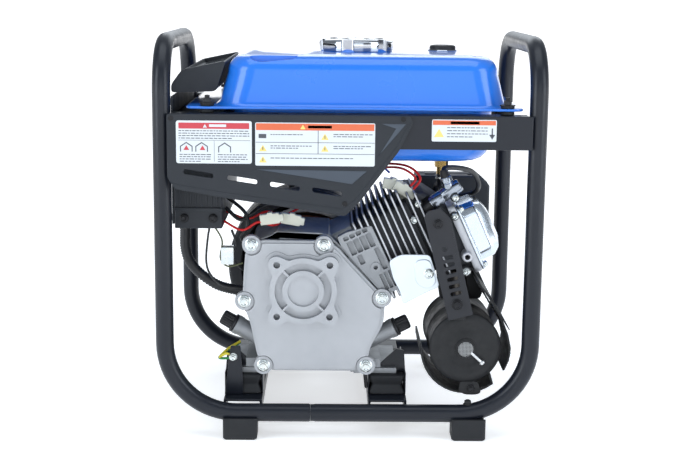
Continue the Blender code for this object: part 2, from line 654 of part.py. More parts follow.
def make_fuel_cap():
    """Domed cap with six grip notches, over the neck."""
    profile = [(7.3, 0), (7.3, 41.6), (1.2, 41.6), (1.2, 46), (13, 48), (16.5, 45), (19, 30), (19.5, 0)]
    pivot = (CAP_X, CAP_Y, TANK_TOP)
    cap = add_object("fuel_cap", turned(profile, pivot, (0, 0, 1), 36), CHROME, pivot)
    for notch in range(6):
        turn = math.radians(60 * notch + 15)
        centre = (CAP_X + 51 * math.cos(turn), CAP_Y + 51 * math.sin(turn), TANK_TOP - 2)
        cut(cap, rod(centre, (0, 0, 1), 15, 7, 12))


def make_fuel_gauge():
    profile = [(-10, 0), (-10, 12), (GAP, 12), (GAP, 17), (7, 17), (9, 14), (9, 0)]
    add_object("fuel_gauge", turned(profile, (GAUGE_X, GAUGE_Y, TANK_TOP), (0, 0, 1), 20), BLACK_PLASTIC)


def make_tank_bushes():
    """Rubber bushes gripping the tank's flange at its corners, standing on the tank rails."""
    profile = [(0, 0), (0, 8.5), (FLANGE_LOW - TANK_RAIL_TOP - 2 * GAP, 8.5),
               (FLANGE_LOW - TANK_RAIL_TOP - 2 * GAP, 5), (FLANGE_TOP - TANK_RAIL_TOP, 5),
               (FLANGE_TOP - TANK_RAIL_TOP, 8.5), (FLANGE_TOP - TANK_RAIL_TOP + 3, 8.5),
               (FLANGE_TOP - TANK_RAIL_TOP + 3, 0)]
    for end, y in (("front", -BUSH_Y), ("rear", BUSH_Y)):
        for side, x in BUSH_XS.items():
            base = (x, y, TANK_RAIL_TOP + GAP)
            add_object(f"tank_bush_{end}_{side}", turned(profile, base, (0, 0, 1), 12), BLACK_RUBBER)


def make_tank_rails():
    """Folded rails across the outside of the uprights, carrying the tank and the side covers."""
    for end, side in (("front", -1), ("rear", 1)):
        outer = side * RAIL_FACE
        web = side * (RAIL_FACE - 2.5)
        web_low, web_high = sorted((outer, web))
        outline = [(-216, TANK_RAIL_LOW), (216, TANK_RAIL_LOW), (216, TANK_RAIL_TOP), (-216, TANK_RAIL_TOP)]
        rail = add_object(f"tank_rail_{end}", prism(outline, web_low, web_high), BLACK_PAINT)
        ledge_low, ledge_high = sorted((side * 138.0, side * (RAIL_FACE - 1)))
        join(rail, block(-212, 212, ledge_low, ledge_high, TANK_RAIL_TOP - 2.5, TANK_RAIL_TOP))


SIDE_FACE = 170.5
PANEL_OUTLINE = [(-216, 326), (-207, 312), (-150, 302), (-5, 281), (13, 300), (58, 360), (74, 393), (70, 400),
                 (-216, 400)]
VENTS = [(-179, 331, 38), (-127.5, 323.5, 38), (-77, 316, 38), (-27, 310, 38)]


def make_side_covers():
    """Moulded covers outside the rails, with four sloping vents and a chamfered edge."""
    for end, side in (("front", -1), ("rear", 1)):
        outer = side * SIDE_FACE
        middle = side * (SIDE_FACE - 2)
        inner = side * (RAIL_FACE + GAP)
        centre = (-70, 345)
        rings = [place(PANEL_OUTLINE, inner), place(PANEL_OUTLINE, middle),
                 place(shrink(PANEL_OUTLINE, centre, 0.975), outer)]
        cover = add_object(f"side_cover_{end}", loft(rings), BLACK_PLASTIC)
        for x, z, length in VENTS:
            low, high = sorted((side * 160.0, side * 175.0))
            cut(cover, prism(slot_outline(x, z, length, 5.6, -8), low, high))


BOX_BACK = -155.0
PANEL_X = -216.3
PANEL_HALF = 125.0
PANEL_LOW = 262.0
PANEL_HIGH = 418.0
SWITCH_Y = -50.0
ENGINE_SWITCH_Z = 352.0
THROTTLE_SWITCH_Z = 308.0
BUTTON_Y = -10.0
BUTTON_Z = 330.0
OUTLET_Y = 45.0
OUTLET_Z = 335.0


def make_control_box():
    """Tray behind the panel that holds the inverter, and the sloping console on top of it."""
    box = add_object("control_box", block(-213, BOX_BACK, -128, 128, 257, 396), BLACK_PLASTIC)
    cut(box, block(-220, BOX_BACK - 3, -125, 125, 260, 393))
    outline = [(-216, 422), (-216, 432), (-203, 449.7), (-150, 461), (-162, 424)]
    rings = []
    for y, inset in ((-120, 2), (-117, 0), (117, 0), (120, 2)):
        rings.append(place(shrink(outline, (-185, 438), 1 - inset / 40), y))
    add_object("console", loft(rings), BLACK_PLASTIC)
    module = add_object("inverter", block(-196, -162, -95, 95, 275, 375), GREY_PLASTIC)
    for fin in range(7):
        y = -78 + 26 * fin
        cut(module, block(-180, -150, y - 5, y + 5, 270, 380))


def rocker_outline(x, z):
    return [(x - 5, z - 11), (x - 3, z), (x - 5, z + 11), (x + 4, z + 8), (x + 4, z - 8)]


def make_controls():
    """Control panel with outlet, engine switch, throttle switch and sprung breaker button."""
    wall = PANEL_X + 3
    panel = add_object("control_panel", block(PANEL_X, wall - GAP, -PANEL_HALF, PANEL_HALF, PANEL_LOW, PANEL_HIGH),
                       BLACK_PLASTIC)
    for z in (ENGINE_SWITCH_Z, THROTTLE_SWITCH_Z):
        cut(panel, block(PANEL_X - 2, wall + 2, SWITCH_Y - 8, SWITCH_Y + 8, z - 13, z + 13))
    cut(panel, block(PANEL_X - 2, wall + 2, OUTLET_Y - 20.5, OUTLET_Y + 20.5, OUTLET_Z - 35.5, OUTLET_Z + 35.5))
    cut(panel, rod((PANEL_X - 2, BUTTON_Y, BUTTON_Z), (1, 0, 0), 8, 6, 16))
    for name, z, look in (("engine_switch", ENGINE_SWITCH_Z, SWITCH_RED),
                          ("throttle_switch", THROTTLE_SWITCH_Z, GREY_PLASTIC)):
        pivot = (PANEL_X, SWITCH_Y, z)
        add_object(name, prism(rocker_outline(PANEL_X, z), SWITCH_Y - 7, SWITCH_Y + 7), look, pivot)
    button = (PANEL_X - 5, BUTTON_Y, BUTTON_Z)
    add_object("breaker_button", rod(button, (1, 0, 0), 14, 5.4, 14), GREY_PLASTIC, button)
    outlet = add_object("outlet", block(PANEL_X - 4, wall + 8, OUTLET_Y - 20, OUTLET_Y + 20, OUTLET_Z - 35,
                                        OUTLET_Z + 35), GREY_PLASTIC)
    for face in (-19, 19):
        for y, height in ((-6, 9), (6, 7)):
            z = OUTLET_Z + face + 3
            cut(outlet, block(PANEL_X - 6, PANEL_X + 6, OUTLET_Y + y - 1, OUTLET_Y + y + 1, z - height / 2,
                              z + height / 2))
        cut(outlet, rod((PANEL_X - 6, OUTLET_Y, OUTLET_Z + face - 8), (1, 0, 0), 12, 2.4, 10))


def make_wiring_loom():
    knots = [(-208, -60, 256.4), (-208, -60, 240), (-208, -60, 221), (-203, -60, 203), (-190, -60, 187),
             (-169, -60, 172), (-150, -60, 166), (-130.5, -60, 163)]
    tube("wiring_loom", smooth_route(knots, 3), 7, BLACK_RUBBER, 3)


def build():
    clear_scene()
    make_frame()
    make_feet()
    make_engine_rails()
    make_engine_mounts()
    make_engine_block()
    make_crankcase_cover()
    make_cylinder_head()
    make_rocker_cover()
    make_crank_train()
    make_oil_plugs()
    make_ignition()
    make_heat_deflector()
    make_muffler()
    make_muffler_guards()
    make_muffler_strap()
    make_exhaust_pipe()
    make_alternator()
    make_recoil_starter()
    make_intake()
    make_fuel_tap()
    make_fuel_tank()
    make_fuel_cap()
    make_fuel_gauge()
    make_tank_bushes()
    make_tank_rails()
    make_side_covers()
    make_control_box()
    make_controls()
    make_wiring_loom()


build()
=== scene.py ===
import json
import math
import random

import bmesh
import bpy
from mathutils import Matrix, Vector

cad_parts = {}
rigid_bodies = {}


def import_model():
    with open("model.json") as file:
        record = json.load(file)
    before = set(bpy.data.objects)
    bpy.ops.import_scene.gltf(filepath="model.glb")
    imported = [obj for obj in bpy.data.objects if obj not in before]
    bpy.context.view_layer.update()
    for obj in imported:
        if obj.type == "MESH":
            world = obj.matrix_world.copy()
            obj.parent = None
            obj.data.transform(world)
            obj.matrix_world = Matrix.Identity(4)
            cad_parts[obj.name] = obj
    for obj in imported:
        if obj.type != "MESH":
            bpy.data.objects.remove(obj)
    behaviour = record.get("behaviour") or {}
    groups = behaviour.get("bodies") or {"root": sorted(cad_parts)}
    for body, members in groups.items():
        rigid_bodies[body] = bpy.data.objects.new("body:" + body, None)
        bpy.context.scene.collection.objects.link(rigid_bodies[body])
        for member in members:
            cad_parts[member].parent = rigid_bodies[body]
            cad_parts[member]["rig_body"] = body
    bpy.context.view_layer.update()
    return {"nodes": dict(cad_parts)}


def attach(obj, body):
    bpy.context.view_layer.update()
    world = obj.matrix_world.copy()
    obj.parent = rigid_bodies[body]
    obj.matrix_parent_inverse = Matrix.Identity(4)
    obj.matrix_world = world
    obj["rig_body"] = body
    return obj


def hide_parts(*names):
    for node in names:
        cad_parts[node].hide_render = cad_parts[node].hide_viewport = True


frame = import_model()
MM = 0.001

# --- Studio -------------------------------------------------------------------------------------
# Wide level disc of pale floor with a low rim, lit by large soft lamps, with the camera a little
# above the top of the generator and facing its engine side.
scene = bpy.context.scene
scene.view_settings.view_transform = "Standard"

camera_data = bpy.data.cameras.new("studio_camera")
camera_data.sensor_width = 36.0
camera_data.lens = 67.17
camera = bpy.data.objects.new("studio_camera", camera_data)
camera.location = (-0.0239, -1.7014, 0.5478)
camera_aim = (Matrix.Rotation(math.radians(-0.920), 4, "Z") @ Matrix.Rotation(math.radians(79.366), 4, "X")
              @ Matrix.Rotation(math.radians(0.625), 4, "Z"))
camera.rotation_euler = camera_aim.to_euler()
scene.collection.objects.link(camera)
scene.camera = camera


def flat_material(name, colour, roughness):
    material = bpy.data.materials.new(name)
    material.use_nodes = True
    shader = material.node_tree.nodes["Principled BSDF"]
    shader.inputs["Base Color"].default_value = (*colour, 1)
    shader.inputs["Roughness"].default_value = roughness
    return material


def make_floor():
    """A wide level disc with a low rim, a little brighter with distance so its far side stays white."""
    bm = bmesh.new()
    bmesh.ops.create_circle(bm, cap_ends=True, segments=96, radius=60)
    rim_edges = bmesh.ops.extrude_edge_only(bm, edges=bm.edges[:])["geom"]
    bmesh.ops.translate(
        bm, vec=(0, 0, 5), verts=[part for part in rim_edges if isinstance(part, bmesh.types.BMVert)])
    bmesh.ops.translate(bm, vec=(0, 0, -0.0005), verts=bm.verts)
    mesh = bpy.data.meshes.new("studio_floor")
    bm.to_mesh(mesh)
    bm.free()
    floor = bpy.data.objects.new("studio_floor", mesh)
    paper = flat_material("studio_paper", (0.93, 0.935, 0.945), 0.9)
    nodes = paper.node_tree.nodes
    links = paper.node_tree.links
    glow = nodes["Principled BSDF"].inputs
    glow["Emission Color"].default_value = (1, 1, 1, 1)
    distance = nodes.new("ShaderNodeVectorMath")
    distance.operation = "LENGTH"
    links.new(nodes.new("ShaderNodeTexCoord").outputs["Object"], distance.inputs[0])
    rise = nodes.new("ShaderNodeMapRange")
    rise.inputs["From Min"].default_value = 0.6
    rise.inputs["From Max"].default_value = 4.0
    rise.inputs["To Min"].default_value = 0.5
    rise.inputs["To Max"].default_value = 1.0
    links.new(distance.outputs["Value"], rise.inputs["Value"])
    links.new(rise.outputs["Result"], glow["Emission Strength"])
    floor.data.materials.append(paper)
    scene.collection.objects.link(floor)


def add_lamp(name, place, size, power, tint=(1, 1, 1)):
    data = bpy.data.lights.new(name, "AREA")
    data.shape = "RECTANGLE"
    data.size, data.size_y = size
    data.energy = power
    data.color = tint
    lamp = bpy.data.objects.new(name, data)
    lamp.location = place
    lamp.rotation_euler = (Vector((0, 0, 0.25)) - Vector(place)).to_track_quat("-Z", "Y").to_euler()
    scene.collection.objects.link(lamp)


make_floor()
add_lamp("left_softbox", (-1.9, -1.3, 1.0), (1.0, 1.8), 24, (0.84, 0.92, 1.0))
add_lamp("right_softbox", (1.9, -1.2, 1.0), (1.0, 1.8), 21, (0.84, 0.92, 1.0))
add_lamp("top_softbox", (0, -0.3, 2.3), (2.2, 1.6), 22, (0.86, 0.93, 1.0))
add_lamp("front_fill", (0.1, -2.8, 1.1), (1.8, 1.2), 9, (0.84, 0.92, 1.0))
add_lamp("back_softbox", (0.2, 2.4, 1.6), (2.0, 1.4), 18, (0.88, 0.94, 1.0))
world = bpy.data.worlds.new("studio_world")
world.use_nodes = True
world.node_tree.nodes["Background"].inputs["Color"].default_value = (0.86, 0.93, 1.0, 1)
world.node_tree.nodes["Background"].inputs["Strength"].default_value = 0.36
scene.world = world

# --- Frame tube ---------------------------------------------------------------------------------
# Two bent lengths of 22 mm steel tube, powder coated black. They plug into each other under the
# engine, where the left one is opened out a little and dimpled to hold the right one.
TUBE_R = 0.011
TUBE_X = 0.224
TUBE_Y = 0.1525
TUBE_Z = 0.031
HANDLE_Z = 0.482
FLOOR_BEND = 0.088
HANDLE_BEND = 0.058
JOINT_X = -0.046


def paint(name, colour, second, roughness, metallic=0.0, grain=700.0, depth=0.04, patches=9.0, coat=0.0,
          spread=0.05):
    """A finish with slow colour change, uneven gloss and a fine surface grain."""
    material = bpy.data.materials.new(name)
    material.use_nodes = True
    nodes = material.node_tree.nodes
    links = material.node_tree.links
    shader = nodes["Principled BSDF"]
    shader.inputs["Metallic"].default_value = metallic
    shader.inputs["Coat Weight"].default_value = coat
    shader.inputs["Coat Roughness"].default_value = 0.06
    shader.inputs["Specular IOR Level"].default_value = 0.36
    where = nodes.new("ShaderNodeTexCoord").outputs["Object"]
    slow = nodes.new("ShaderNodeTexNoise")
    slow.inputs["Scale"].default_value = patches
    slow.inputs["Detail"].default_value = 5
    links.new(where, slow.inputs["Vector"])
    mix = nodes.new("ShaderNodeMix")
    mix.data_type = "RGBA"
    mix.inputs["A"].default_value = (*colour, 1)
    mix.inputs["B"].default_value = (*second, 1)
    links.new(slow.outputs["Fac"], mix.inputs["Factor"])
    links.new(mix.outputs["Result"], shader.inputs["Base Color"])
    gloss = nodes.new("ShaderNodeMapRange")
    gloss.inputs["From Min"].default_value = 0.3
    gloss.inputs["From Max"].default_value = 0.7
    gloss.inputs["To Min"].default_value = max(roughness - spread, 0.02)
    gloss.inputs["To Max"].default_value = roughness + spread
    cloud = nodes.new("ShaderNodeTexNoise")
    cloud.inputs["Scale"].default_value = patches * 6
    cloud.inputs["Detail"].default_value = 6
    links.new(where, cloud.inputs["Vector"])
    links.new(cloud.outputs["Fac"], gloss.inputs["Value"])
    links.new(gloss.outputs["Result"], shader.inputs["Roughness"])
    fine = nodes.new("ShaderNodeTexNoise")
    fine.inputs["Scale"].default_value = grain
    fine.inputs["Detail"].default_value = 3
    links.new(where, fine.inputs["Vector"])
    bump = nodes.new("ShaderNodeBump")
    bump.inputs["Strength"].default_value = 0.5
    bump.inputs["Distance"].default_value = depth * MM
    links.new(fine.outputs["Fac"], bump.inputs["Height"])
    links.new(bump.outputs["Normal"], shader.inputs["Normal"])
    return material


powder_coat = paint("powder_coat", (0.006, 0.008, 0.013), (0.010, 0.012, 0.019), 0.33, grain=900, depth=0.025)


def settle(piece, material, slot, body="generator", *nodes):
    """Give a finished piece its material, its body and the nodes that it stands for."""
    if piece.name not in scene.collection.objects:
        scene.collection.objects.link(piece)
    piece.data.materials.clear()
    piece.data.materials.append(material)
    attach(piece, body)
    if nodes:
        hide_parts(*nodes)
    return piece


def bend(centre, first, second, radius, steps=18):
    angles = [math.pi / 2 * step / steps for step in range(steps + 1)]
    return [centre + radius * (math.cos(a) * first + math.sin(a) * second) for a in angles]


def tube(name, points, radius, radii=None, resolution=8):
    """A round bar or wire along points; radii scale the thickness at each point."""
    data = bpy.data.curves.new(name, "CURVE")
    data.dimensions = "3D"
    data.bevel_depth = radius
    data.bevel_resolution = resolution
    data.use_fill_caps = True
    spline = data.splines.new("POLY")
    spline.points.add(len(points) - 1)
    for i, point in enumerate(points):
        spline.points[i].co = (*point, 1)
        spline.points[i].radius = radii[i] if radii else 1
    spline.use_smooth = True
    return bpy.data.objects.new(name, data)


def frame_route(side, start):
    up = Vector((0, 0, 1))
    outward = Vector((side, 0, 0))
    toward = Vector((0, -1, 0))
    half = [Vector((x, -TUBE_Y, TUBE_Z)) for x in start]
    half += bend(Vector((side * (TUBE_X - FLOOR_BEND), -TUBE_Y, TUBE_Z + FLOOR_BEND)), -up, outward,
                 FLOOR_BEND)
    half += bend(Vector((side * TUBE_X, HANDLE_BEND - TUBE_Y, HANDLE_Z - HANDLE_BEND)), toward, up,
                 HANDLE_BEND)
    return half + [Vector((p.x, -p.y, p.z)) for p in reversed(half)]


for side_name, side, start, sizes in (
        ("left", -1, (JOINT_X, JOINT_X - 0.0015, JOINT_X - 0.03), (0.97, 1.02, 1.02)),
        ("right", 1, (JOINT_X + 0.0003, JOINT_X + 0.004, JOINT_X + 0.006), (0.955, 0.955, 1.0))):
    route = frame_route(side, start)
    widths = [1.0] * len(route)
    for i, size in enumerate(sizes):
        widths[i] = size
        widths[-1 - i] = size
    settle(tube(f"frame_tube_{side_name}", route, TUBE_R, widths, 10), powder_coat, "black_paint",
           "generator", f"frame_{side_name}")


# --- Feet and engine mounts ---------------------------------------------------------------------
# Moulded rubber: four saddle feet under the floor tubes, and four waisted blocks that carry the
# engine on the rails. They are black, matt and a little dusty.
rubber = paint("moulded_rubber", (0.008, 0.009, 0.011), (0.016, 0.017, 0.020), 0.62, grain=1500, depth=0.08)


def refined(node, material, slot, width, segments=2, angle=28):
    """A cleaned copy of a node's mesh with rounded edges, standing for the node."""
    source = frame["nodes"][node]
    bm = bmesh.new()
    bm.from_mesh(source.data)
    bmesh.ops.remove_doubles(bm, verts=bm.verts, dist=0.00002)
    bmesh.ops.dissolve_limit(bm, angle_limit=math.radians(1.0), verts=bm.verts, edges=bm.edges)
    mesh = bpy.data.meshes.new(node + "_part")
    bm.to_mesh(mesh)
    bm.free()
    piece = bpy.data.objects.new(node + "_part", mesh)
    rounding = piece.modifiers.new("rounding", "BEVEL")
    rounding.width = width * MM
    rounding.segments = segments
    rounding.limit_method = "ANGLE"
    rounding.angle_limit = math.radians(angle)
    rounding.harden_normals = False
    mesh.shade_smooth()
    mesh.set_sharp_from_angle(angle=math.radians(35))
    return settle(piece, material, slot, source["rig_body"], node)


for end in ("front", "rear"):
    for side_name in ("left", "right"):
        refined(f"foot_{end}_{side_name}", rubber, "black_rubber", 1.2, 3)
        refined(f"engine_mount_{end}_{side_name}", rubber, "black_rubber", 1.6, 3)

# --- Engine rails -------------------------------------------------------------------------------
# Folded steel channels welded across the floor tubes under the engine's feet, powder coated with
# the frame. A short flat tab stands up beside the left front foot for the earth lead.
for side_name in ("left", "right"):
    refined(f"engine_rail_{side_name}", powder_coat, "black_paint", 1.2, 3)


def slab(name, outline, low, high, bevel=0.0, segments=2):
    """An outline in x and z given depth along y, all in millimetres, with rounded edges."""
    bm = bmesh.new()
    face = bm.faces.new([bm.verts.new((x * MM, low * MM, z * MM)) for x, z in outline])
    grown = bmesh.ops.extrude_face_region(bm, geom=[face])["geom"]
    moved = [part for part in grown if isinstance(part, bmesh.types.BMVert)]
    bmesh.ops.translate(bm, vec=(0, (high - low) * MM, 0), verts=moved)
    bmesh.ops.recalc_face_normals(bm, faces=bm.faces)
    return finish_mesh(name, bm, bevel, segments)


def finish_mesh(name, bm, bevel=0.0, segments=2, smooth=35):
    if bevel:
        sharp = [edge for edge in bm.edges if edge.calc_face_angle(0) > math.radians(smooth)]
        bmesh.ops.bevel(bm, geom=sharp, offset=bevel * MM, segments=segments, profile=0.5, affect="EDGES",
                        clamp_overlap=True, material=-1)
    mesh = bpy.data.meshes.new(name)
    bm.to_mesh(mesh)
    bm.free()
    mesh.shade_smooth()
    mesh.set_sharp_from_angle(angle=math.radians(smooth))
    piece = bpy.data.objects.new(name, mesh)
    scene.collection.objects.link(piece)
    return piece


settle(slab("earth_tab", [(-154, 44.4), (-146, 107), (-134, 107), (-131, 68), (-131, 44.4)], -122, -119.5,
            0.5), powder_coat, "black_paint")

# --- Bolts --------------------------------------------------------------------------------------
# Hexagon flange bolts with a rolled flange and a cross recess, zinc plated with a faint blue and
# yellow cast. The black ones are the same bolt with a phosphate finish.
zinc = paint("zinc_plate", (0.55, 0.62, 0.68), (0.74, 0.74, 0.66), 0.24, 1.0, grain=2200, depth=0.02,
             patches=160)
phosphate = paint("black_phosphate", (0.012, 0.012, 0.014), (0.03, 0.03, 0.032), 0.42, 0.6, grain=2000,
                  depth=0.03)


def spun(profile, base, direction, steps=32):
    """A turned shape from (distance, radius) points in millimetres along a line from base."""
    bm = bmesh.new()
    verts = [bm.verts.new((radius * MM, 0, along * MM)) for along, radius in profile]
    edges = [bm.edges.new(pair) for pair in zip(verts, verts[1:])]
    if profile[0][1] > 0:
        edges.append(bm.edges.new((verts[-1], verts[0])))
    bmesh.ops.spin(bm, geom=verts + edges, cent=(0, 0, 0), axis=(0, 0, 1), angle=2 * math.pi, steps=steps,
                   use_merge=True)
    bmesh.ops.remove_doubles(bm, verts=bm.verts, dist=0.000002)
    bmesh.ops.recalc_face_normals(bm, faces=bm.faces)
    turn = Vector(direction).to_track_quat("Z", "Y").to_matrix().to_4x4()
    bmesh.ops.transform(bm, matrix=Matrix.Translation(Vector(base) * MM) @ turn, verts=bm.verts)
    return bm


def absorb(bm, other):
    """Put another bmesh's faces into this one."""
    spare = bpy.data.meshes.new("spare")
    other.to_mesh(spare)
    other.free()
    bm.from_mesh(spare)
    bpy.data.meshes.remove(spare)


def hexagon(base, direction, across, height, low=0.0):
    bm = bmesh.new()
    bmesh.ops.create_cone(bm, cap_ends=True, segments=6, radius1=across * 0.577 * MM,
                          radius2=across * 0.577 * MM, depth=height * MM)
    top = [edge for edge in bm.edges if all(v.co.z > 0 for v in edge.verts)]
    bmesh.ops.bevel(bm, geom=top, offset=height * 0.14 * MM, segments=2, profile=0.5, affect="EDGES",
                    material=-1)
    bmesh.ops.translate(bm, vec=(0, 0, (low + height / 2) * MM), verts=bm.verts)
    turn = Vector(direction).to_track_quat("Z", "Y").to_matrix().to_4x4()
    bmesh.ops.transform(bm, matrix=Matrix.Translation(Vector(base) * MM) @ turn, verts=bm.verts)
    return bm


def flange_bolt(name, base, direction, across=12.0, material=None, slot="zinc_steel", body="generator"):
    """A bolt head standing on base, with direction pointing out of the surface."""
    wide = across * 0.70
    bm = spun([(0, 0), (0, wide), (0.9, wide), (2.0, wide * 0.8), (2.3, 0)], base, direction, 28)
    absorb(bm, hexagon(base, direction, across, across * 0.46, 1.2))
    dish = spun(
        [(across * 0.46 + 0.9, 0), (across * 0.46 + 1.5, across * 0.30), (across * 0.46 + 1.9,
            across * 0.36), (across * 0.46 + 1.0, across * 0.40), (across * 0.3, 0)], base, direction, 20)
    absorb(bm, dish)
    piece = finish_mesh(name, bm, smooth=40)
    return settle(piece, material or zinc, slot, body)


# --- Crankcase cover ----------------------------------------------------------------------------
# Die-cast aluminium cover, shot blasted, with a machined square drive face for a pump or gearbox,
# a bearing ring with four ribs across its groove, and six bolts on round bosses.
cast_alloy = paint("blasted_casting", (0.36, 0.37, 0.39), (0.44, 0.45, 0.47), 0.46, 0.55, grain=1300,
                   depth=0.07, patches=14, spread=0.08)
CRANK_X = -55.5
CRANK_Z = 181.5
COVER_EDGE = [(-95, 77), (10, 77), (24, 83), (28, 108), (44, 137), (46, 170), (36, 181), (2, 217), (-14, 236),
              (-30, 243), (-108, 243), (-121, 239), (-127, 228), (-129, 206), (-131, 166), (-121, 137),
              (-113, 97), (-106, 82)]
COVER_BOLTS = [(-119.5, 237), (-30.5, 237), (-128.5, 166), (-105, 84), (23, 84), (42, 171)]


def boolean(piece, tool_bm, operation):
    """Join or cut a shape and keep the result as the piece's own mesh."""
    mesh = bpy.data.meshes.new("tool")
    tool_bm.to_mesh(mesh)
    tool_bm.free()
    tool = bpy.data.objects.new("tool", mesh)
    scene.collection.objects.link(tool)
    modifier = piece.modifiers.new("shape", "BOOLEAN")
    modifier.operation = operation
    modifier.solver = "EXACT"
    modifier.object = tool
    bpy.context.view_layer.update()
    graph = bpy.context.evaluated_depsgraph_get()
    result = bpy.data.meshes.new_from_object(piece.evaluated_get(graph))
    old = piece.data
    piece.modifiers.clear()
    piece.data = result
    bpy.data.meshes.remove(old)
    bpy.data.objects.remove(tool)
    bpy.data.meshes.remove(mesh)


def soften(piece, width, segments=2, angle=30):
    """Round a finished shape's edges with a live bevel."""
    rounding = piece.modifiers.new("rounding", "BEVEL")
    rounding.width = width * MM
    rounding.segments = segments
    rounding.limit_method = "ANGLE"
    rounding.angle_limit = math.radians(angle)
    piece.data.shade_smooth()
    piece.data.set_sharp_from_angle(angle=math.radians(40))


def rounded_outline(points, radius, steps=4):
    """An outline whose corners are replaced by short curves."""
    result = []
    for i, here in enumerate(points):
        before = Vector(points[i - 1]) - Vector(here)
        after = Vector(points[(i + 1) % len(points)]) - Vector(here)
        reach = min(radius, before.length * 0.45, after.length * 0.45)
        a = Vector(here) + before.normalized() * reach
        b = Vector(here) + after.normalized() * reach
        for step in range(steps + 1):
            t = step / steps
            result.append(tuple((1 - t) ** 2 * a + 2 * t * (1 - t) * Vector(here) + t ** 2 * b))
    return result


def lobed_outline(reach, lobe, spacing, steps=128):
    """The drive face: a disc joined to a round lobe at each bolt hole."""
    radii = []
    for step in range(steps):
        angle = 2 * math.pi * step / steps
        off = (angle + math.pi / 4) % (math.pi / 2) - math.pi / 4
        off = abs(abs(off) - math.pi / 4) if abs(off) > math.pi / 8 else math.pi / 4 - abs(off)
        far = spacing * math.sqrt(2)
        inside = lobe ** 2 - (far * math.sin(off)) ** 2
        radii.append(max(reach, far * math.cos(off) + math.sqrt(inside)) if inside > 0 else reach)
    for _ in range(3):
        radii = [(radii[i - 1] + 2 * radii[i] + radii[(i + 1) % steps]) / 4 for i in range(steps)]
    return [(CRANK_X + r * math.cos(2 * math.pi * i / steps), CRANK_Z + r * math.sin(2 * math.pi * i / steps))
            for i, r in enumerate(radii)]


def slab_bm(outline, low, high):
    bm = bmesh.new()
    face = bm.faces.new([bm.verts.new((x * MM, low * MM, z * MM)) for x, z in outline])
    grown = bmesh.ops.extrude_face_region(bm, geom=[face])["geom"]
    moved = [part for part in grown if isinstance(part, bmesh.types.BMVert)]
    bmesh.ops.translate(bm, vec=(0, (high - low) * MM, 0), verts=moved)
    bmesh.ops.recalc_face_normals(bm, faces=bm.faces)
    return bm


cover = slab("crankcase_cover_casting", rounded_outline(COVER_EDGE, 9), -126.5, -118, 1.2, 2)
raised = rounded_outline([(CRANK_X + 8 + (x - CRANK_X - 8) * 0.95, CRANK_Z - 20 + (z - CRANK_Z + 20) * 0.955)
                          for x, z in COVER_EDGE], 12)
boolean(cover, slab_bm(raised, -129.5, -124), "UNION")
for x, z in COVER_BOLTS:
    boolean(cover, spun([(-1, 0), (-1, 13), (9, 13), (9, 0)], (x, -134, z), (0, 1, 0), 32), "DIFFERENCE")
    boolean(cover, spun([(0, 0), (0, 11.5), (8, 12), (8, 0)], (x, -127.2, z), (0, 1, 0), 32), "UNION")
boolean(cover, slab_bm(lobed_outline(45, 15.5, 32.5), -131.5, -124), "UNION")
boolean(cover, slab_bm(lobed_outline(41.5, 11.5, 32.5), -138.8, -124), "UNION")
line = (CRANK_X, 0, CRANK_Z)
boolean(cover, spun([(-141, 25.7), (-141, 35), (-131.5, 35), (-131.5, 25.7)], line, (0, 1, 0), 64),
        "DIFFERENCE")
boolean(cover, spun([(-141, 0), (-141, 19.3), (-135, 19.3), (-135, 0)], line, (0, 1, 0), 64), "DIFFERENCE")
for quarter in range(4):
    turn = math.radians(45 + 90 * quarter)
    across = Vector((math.cos(turn), 0, math.sin(turn)))
    bm = bmesh.new()
    bmesh.ops.create_cube(bm, size=1.0)
    bmesh.ops.transform(bm, matrix=Matrix.Diagonal((0.012, 0.005, 0.0028, 1)), verts=bm.verts)
    spot = Matrix.Translation(Vector((CRANK_X, -135.3, CRANK_Z)) * MM + across * 0.0305)
    bmesh.ops.transform(bm, matrix=spot @ Matrix.Rotation(-turn, 4, "Y"), verts=bm.verts)
    boolean(cover, bm, "UNION")
    hole = (CRANK_X + math.copysign(32.5, across.x), -141, CRANK_Z + math.copysign(32.5, across.z))
    boolean(cover, spun([(0, 0), (0, 4.1), (14, 4.1), (14, 0)], hole, (0, 1, 0), 24), "DIFFERENCE")
soften(cover, 0.7, 2)
settle(cover, cast_alloy, "cast_alloy", "generator", "crankcase_cover")
for number, (x, z) in enumerate(COVER_BOLTS):
    flange_bolt(f"cover_bolt_{number}", (x, -127.2, z), (0, -1, 0), 11.5)

# --- Engine block -------------------------------------------------------------------------------
# One aluminium casting, shot blasted: crankcase, barrel, feet and both oil necks. A cast web with
# small windows braces the barrel against the case, beside a round screw boss.
block_alloy = paint("block_casting", (0.26, 0.27, 0.285), (0.36, 0.37, 0.385), 0.5, 0.6, grain=1100,
                    depth=0.09, patches=18, spread=0.1)
block = refined("engine_block", block_alloy, "cast_alloy", 0.8)
CYLINDER_TILT = math.radians(25)
ALONG = Vector((math.cos(CYLINDER_TILT), 0, math.sin(CYLINDER_TILT)))
ACROSS = Vector((-math.sin(CYLINDER_TILT), 0, math.cos(CYLINDER_TILT)))


def on_barrel(s, h):
    """The x and z, in millimetres, of a distance along the cylinder and one square to it."""
    spot = Vector(line) + ALONG * s + ACROSS * h
    return spot.x, spot.z


